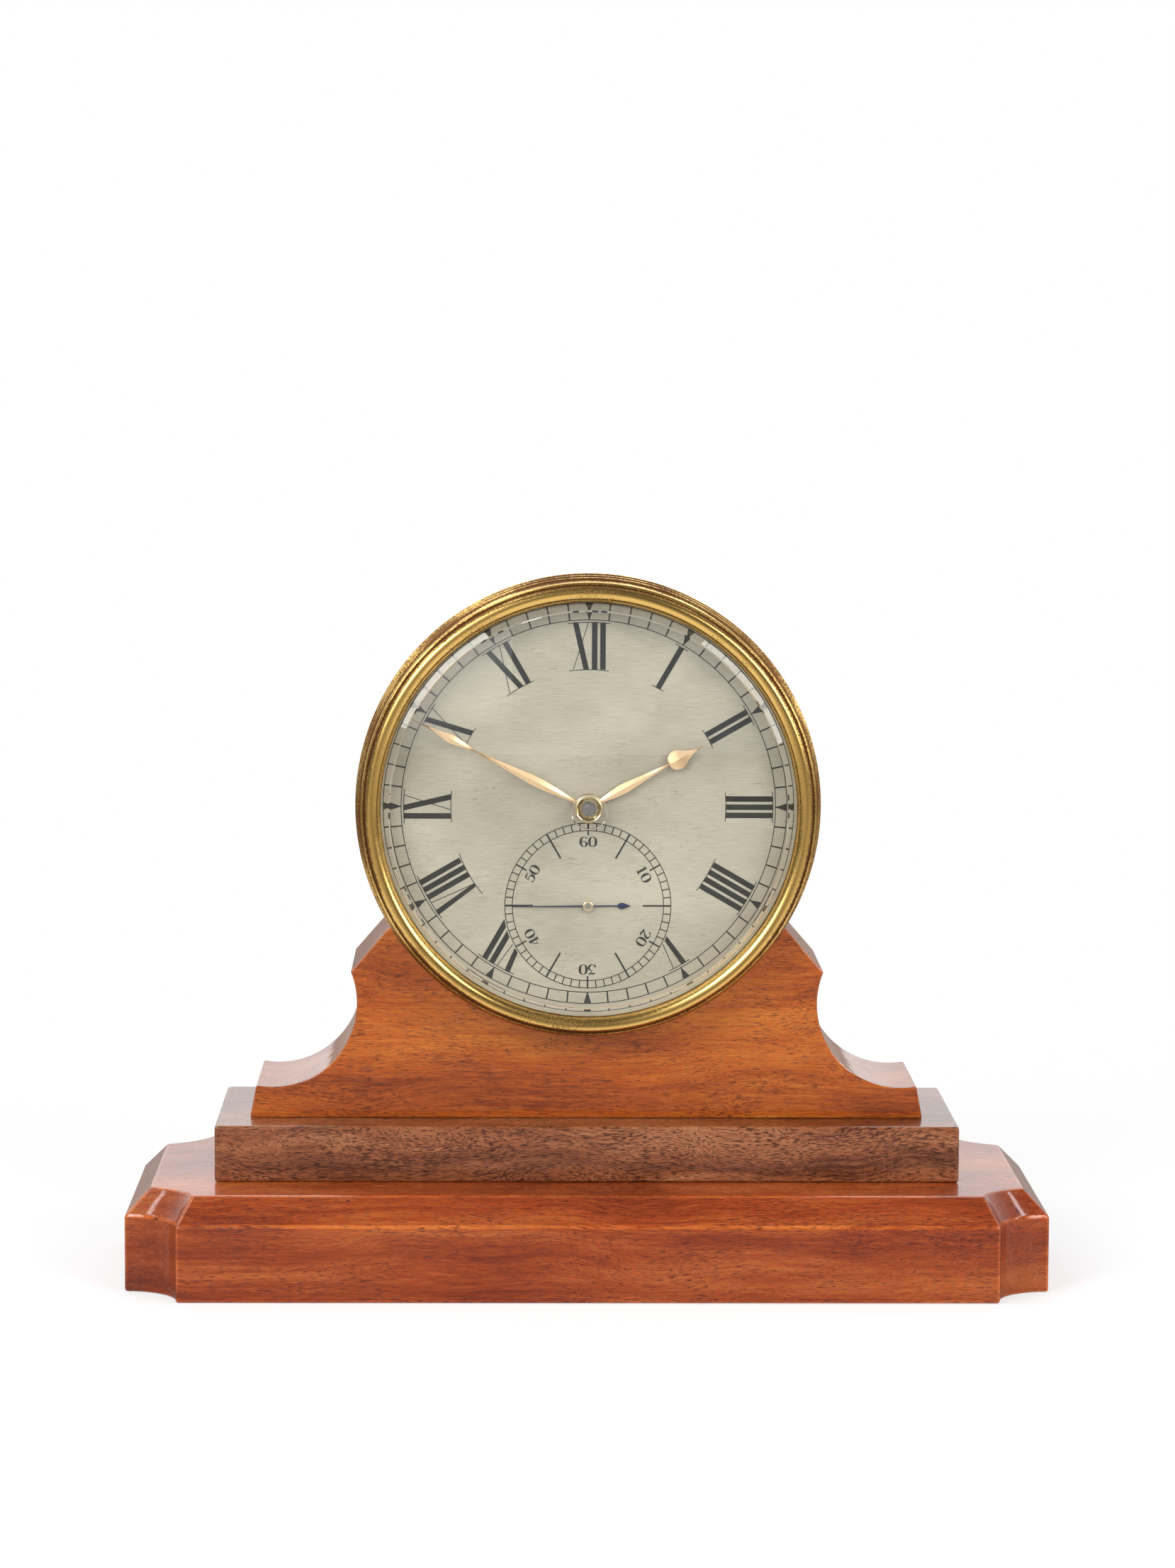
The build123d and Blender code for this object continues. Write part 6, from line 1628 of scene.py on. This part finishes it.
@dataclass
class Studio:
    """The floor, the lamps and the camera."""

    camera_place: tuple[float, float, float] = (-0.0207, -1.0935, 0.2328)
    pitch: float = -6.07
    yaw: float = 1.086
    roll: float = 0.278
    focal_pixels: float = 6500.0

    def floor(self) -> None:
        """Makes the pale floor, which stays white to the eye apart from a soft shadow."""
        mesh = bpy.data.meshes.new("studio_floor")
        size = 3.0
        mesh.from_pydata([(-size, -size, -1e-4), (size, -size, -1e-4), (size, size, -1e-4),
                          (-size, size, -1e-4)], [], [(0, 1, 2, 3)])
        obj = bpy.data.objects.new("studio_floor", mesh)
        bpy.context.scene.collection.objects.link(obj)
        material = bpy.data.materials.new("studio_paper_white")
        material.use_nodes = True
        tree = Tree(material.node_tree)
        path = tree.add("ShaderNodeLightPath")
        seen_from = tree.add("ShaderNodeNewGeometry").outputs["Incoming"]
        steep = tree.add(
            "ShaderNodeMapRange",
            {"Value": tree.add("ShaderNodeSeparateXYZ", {0: seen_from}).outputs["Z"],
             "From Min": 0.25, "From Max": 0.5, "To Min": 1.0, "To Max": 0.0},
            interpolation_type="SMOOTHSTEP")
        dimmed = tree.add(
            "ShaderNodeMath", {0: path.outputs["Is Glossy Ray"], 1: steep.outputs[0]},
            operation="MULTIPLY")
        tone = tree.mix(dimmed.outputs[0], linear("#f4f4f4"), linear("#a19c96"))
        paper = tree.add("ShaderNodeBsdfDiffuse", {"Color": tone})
        white = tree.add("ShaderNodeEmission", {"Strength": 1.0})
        place = tree.add("ShaderNodeTexCoord").outputs["Object"]
        reach = tree.add("ShaderNodeVectorMath", {0: place}, operation="LENGTH")
        fade = tree.add(
            "ShaderNodeMapRange",
            {"Value": reach.outputs["Value"], "From Min": 0.12, "From Max": 0.4,
             "To Min": 0.6, "To Max": 1.0}, interpolation_type="SMOOTHSTEP")
        share = tree.add(
            "ShaderNodeMath", {0: path.outputs["Is Camera Ray"], 1: fade.outputs[0]},
            operation="MULTIPLY")
        mixed = tree.add("ShaderNodeMixShader", {0: share.outputs[0], 1: paper.outputs[0],
                                                 2: white.outputs[0]})
        tree.add("ShaderNodeOutputMaterial", {"Surface": mixed.outputs[0]})
        mesh.materials.append(material)

    def world(self) -> None:
        """Makes the surroundings: white behind and above, dim on the camera's side."""
        world = bpy.data.worlds.new("studio")
        bpy.context.scene.world = world
        world.use_nodes = True
        tree = Tree(world.node_tree)
        place = tree.add("ShaderNodeTexCoord").outputs["Generated"]
        parts = tree.add("ShaderNodeSeparateXYZ", {0: place})
        level = tree.add(
            "ShaderNodeMapRange",
            {"Value": parts.outputs["Y"], "From Min": -0.35, "From Max": 0.9, "To Min": 0.1,
             "To Max": 1.1}, interpolation_type="SMOOTHSTEP")
        path = tree.add("ShaderNodeLightPath")
        seen = tree.add(
            "ShaderNodeMath",
            {0: path.outputs["Is Camera Ray"], 1: path.outputs["Is Transmission Ray"]},
            operation="MAXIMUM")
        strength = tree.add(
            "ShaderNodeMath", {0: path.outputs["Is Glossy Ray"], 1: level.outputs[0]},
            operation="MULTIPLY")
        soft = tree.add(
            "ShaderNodeMath", {0: path.outputs["Is Diffuse Ray"], 1: 0.33},
            operation="MULTIPLY")
        total = tree.add("ShaderNodeMath", {0: strength.outputs[0], 1: soft.outputs[0]},
                         operation="ADD")
        total = tree.add("ShaderNodeMath", {0: total.outputs[0], 1: seen.outputs[0]},
                         operation="MAXIMUM")
        background = tree.add(
            "ShaderNodeBackground",
            {"Color": (1.0, 1.0, 1.0, 1.0), "Strength": total.outputs[0]})
        tree.add("ShaderNodeOutputWorld", {"Surface": background.outputs[0]})

    def card(self) -> None:
        """Hangs a soft-edged white card beside the camera, for the sheen on the glass."""
        size, place = 0.34, Vector((-0.47, -1.5, 0.42))
        mesh = bpy.data.meshes.new("white_card")
        corners = [(-size, 0, -size), (size, 0, -size), (size, 0, size), (-size, 0, size)]
        mesh.from_pydata([Vector(c) + place for c in corners], [], [(0, 1, 2, 3)])
        obj = bpy.data.objects.new("white_card", mesh)
        bpy.context.scene.collection.objects.link(obj)
        material = bpy.data.materials.new("studio_card_lit")
        material.use_nodes = True
        tree = Tree(material.node_tree)
        spot = tree.add("ShaderNodeTexCoord").outputs["Object"]
        parts = tree.add("ShaderNodeSeparateXYZ", {0: spot})
        slant = tree.add(
            "ShaderNodeMath", {0: parts.outputs["X"], 1: -0.6, 2: parts.outputs["Z"]},
            operation="MULTIPLY_ADD")
        level = tree.add(
            "ShaderNodeMapRange",
            {"Value": slant.outputs[0], "From Min": 0.2, "From Max": 0.42, "To Max": 0.9},
            interpolation_type="SMOOTHSTEP")
        path = tree.add("ShaderNodeLightPath")
        strength = tree.add(
            "ShaderNodeMath", {0: level.outputs[0], 1: path.outputs["Is Glossy Ray"]},
            operation="MULTIPLY")
        lit = tree.add("ShaderNodeEmission", {"Strength": strength.outputs[0]})
        clear = tree.add("ShaderNodeBsdfTransparent")
        both = tree.add("ShaderNodeAddShader", {0: lit.outputs[0], 1: clear.outputs[0]})
        tree.add("ShaderNodeOutputMaterial", {"Surface": both.outputs[0]})
        mesh.materials.append(material)

    def lamp(
        self, name: str, place: tuple[float, float, float], size: tuple[float, float],
        watts: float,
    ) -> None:
        """Adds a soft box aimed at the clock.

        Args:
            name: The lamp's name.
            place: Where it hangs, in metres.
            size: Width and height.
            watts: Its power.
        """
        data = bpy.data.lights.new(name, "AREA")
        data.shape, data.size, data.size_y, data.energy = "RECTANGLE", size[0], size[1], watts
        obj = bpy.data.objects.new(name, data)
        obj.location = place
        aim = Vector((0.0, 0.0, 0.09)) - Vector(place)
        obj.rotation_euler = aim.to_track_quat("-Z", "Y").to_euler()
        bpy.context.scene.collection.objects.link(obj)

    def camera(self) -> None:
        """Sets the camera at the place fitted to the photo."""
        data = bpy.data.cameras.new("camera")
        data.sensor_width = 36.0  # mm
        data.lens = self.focal_pixels / IMAGE_HEIGHT * data.sensor_width
        data.clip_start, data.clip_end = 0.05, 20.0
        obj = bpy.data.objects.new("camera", data)
        turn = Euler((math.radians(90 + self.pitch), 0.0, math.radians(-self.yaw))).to_matrix()
        obj.matrix_world = (Matrix.Translation(self.camera_place) @ turn.to_4x4()
                            @ Matrix.Rotation(math.radians(self.roll), 4, "Z"))
        bpy.context.scene.collection.objects.link(obj)
        bpy.context.scene.camera = obj

    def build(self) -> None:
        """Sets up the floor, the surroundings, the lamps and the camera."""
        self.floor()
        self.card()
        self.world()
        self.lamp("softbox_left", (-0.74, -1.0, 0.7), (0.6, 0.6), 11.8)
        self.lamp("softbox_right", (0.82, -0.88, 0.6), (0.6, 0.6), 9.2)
        self.lamp("strip_left", (-0.6, -0.12, 0.86), (0.11, 0.9), 2.6)
        self.lamp("strip_right", (0.88, -0.1, 0.5), (0.1, 0.6), 1.7)
        self.lamp("softbox_behind", (0.0, 0.8, 0.9), (1.2, 0.5), 5.0)
        self.camera()


def main() -> None:
    """Builds every piece, then the studio."""
    logging.basicConfig(level=logging.INFO, format="%(name)s: %(message)s")
    bpy.context.scene.view_settings.view_transform = "Standard"
    for part in (Stand(), Case(), DialArtwork(), Hands(), Movement(), Studio()):
        LOG.info("building the %s", type(part).__name__)
        part.build()


if __name__ == "__main__":
    main()
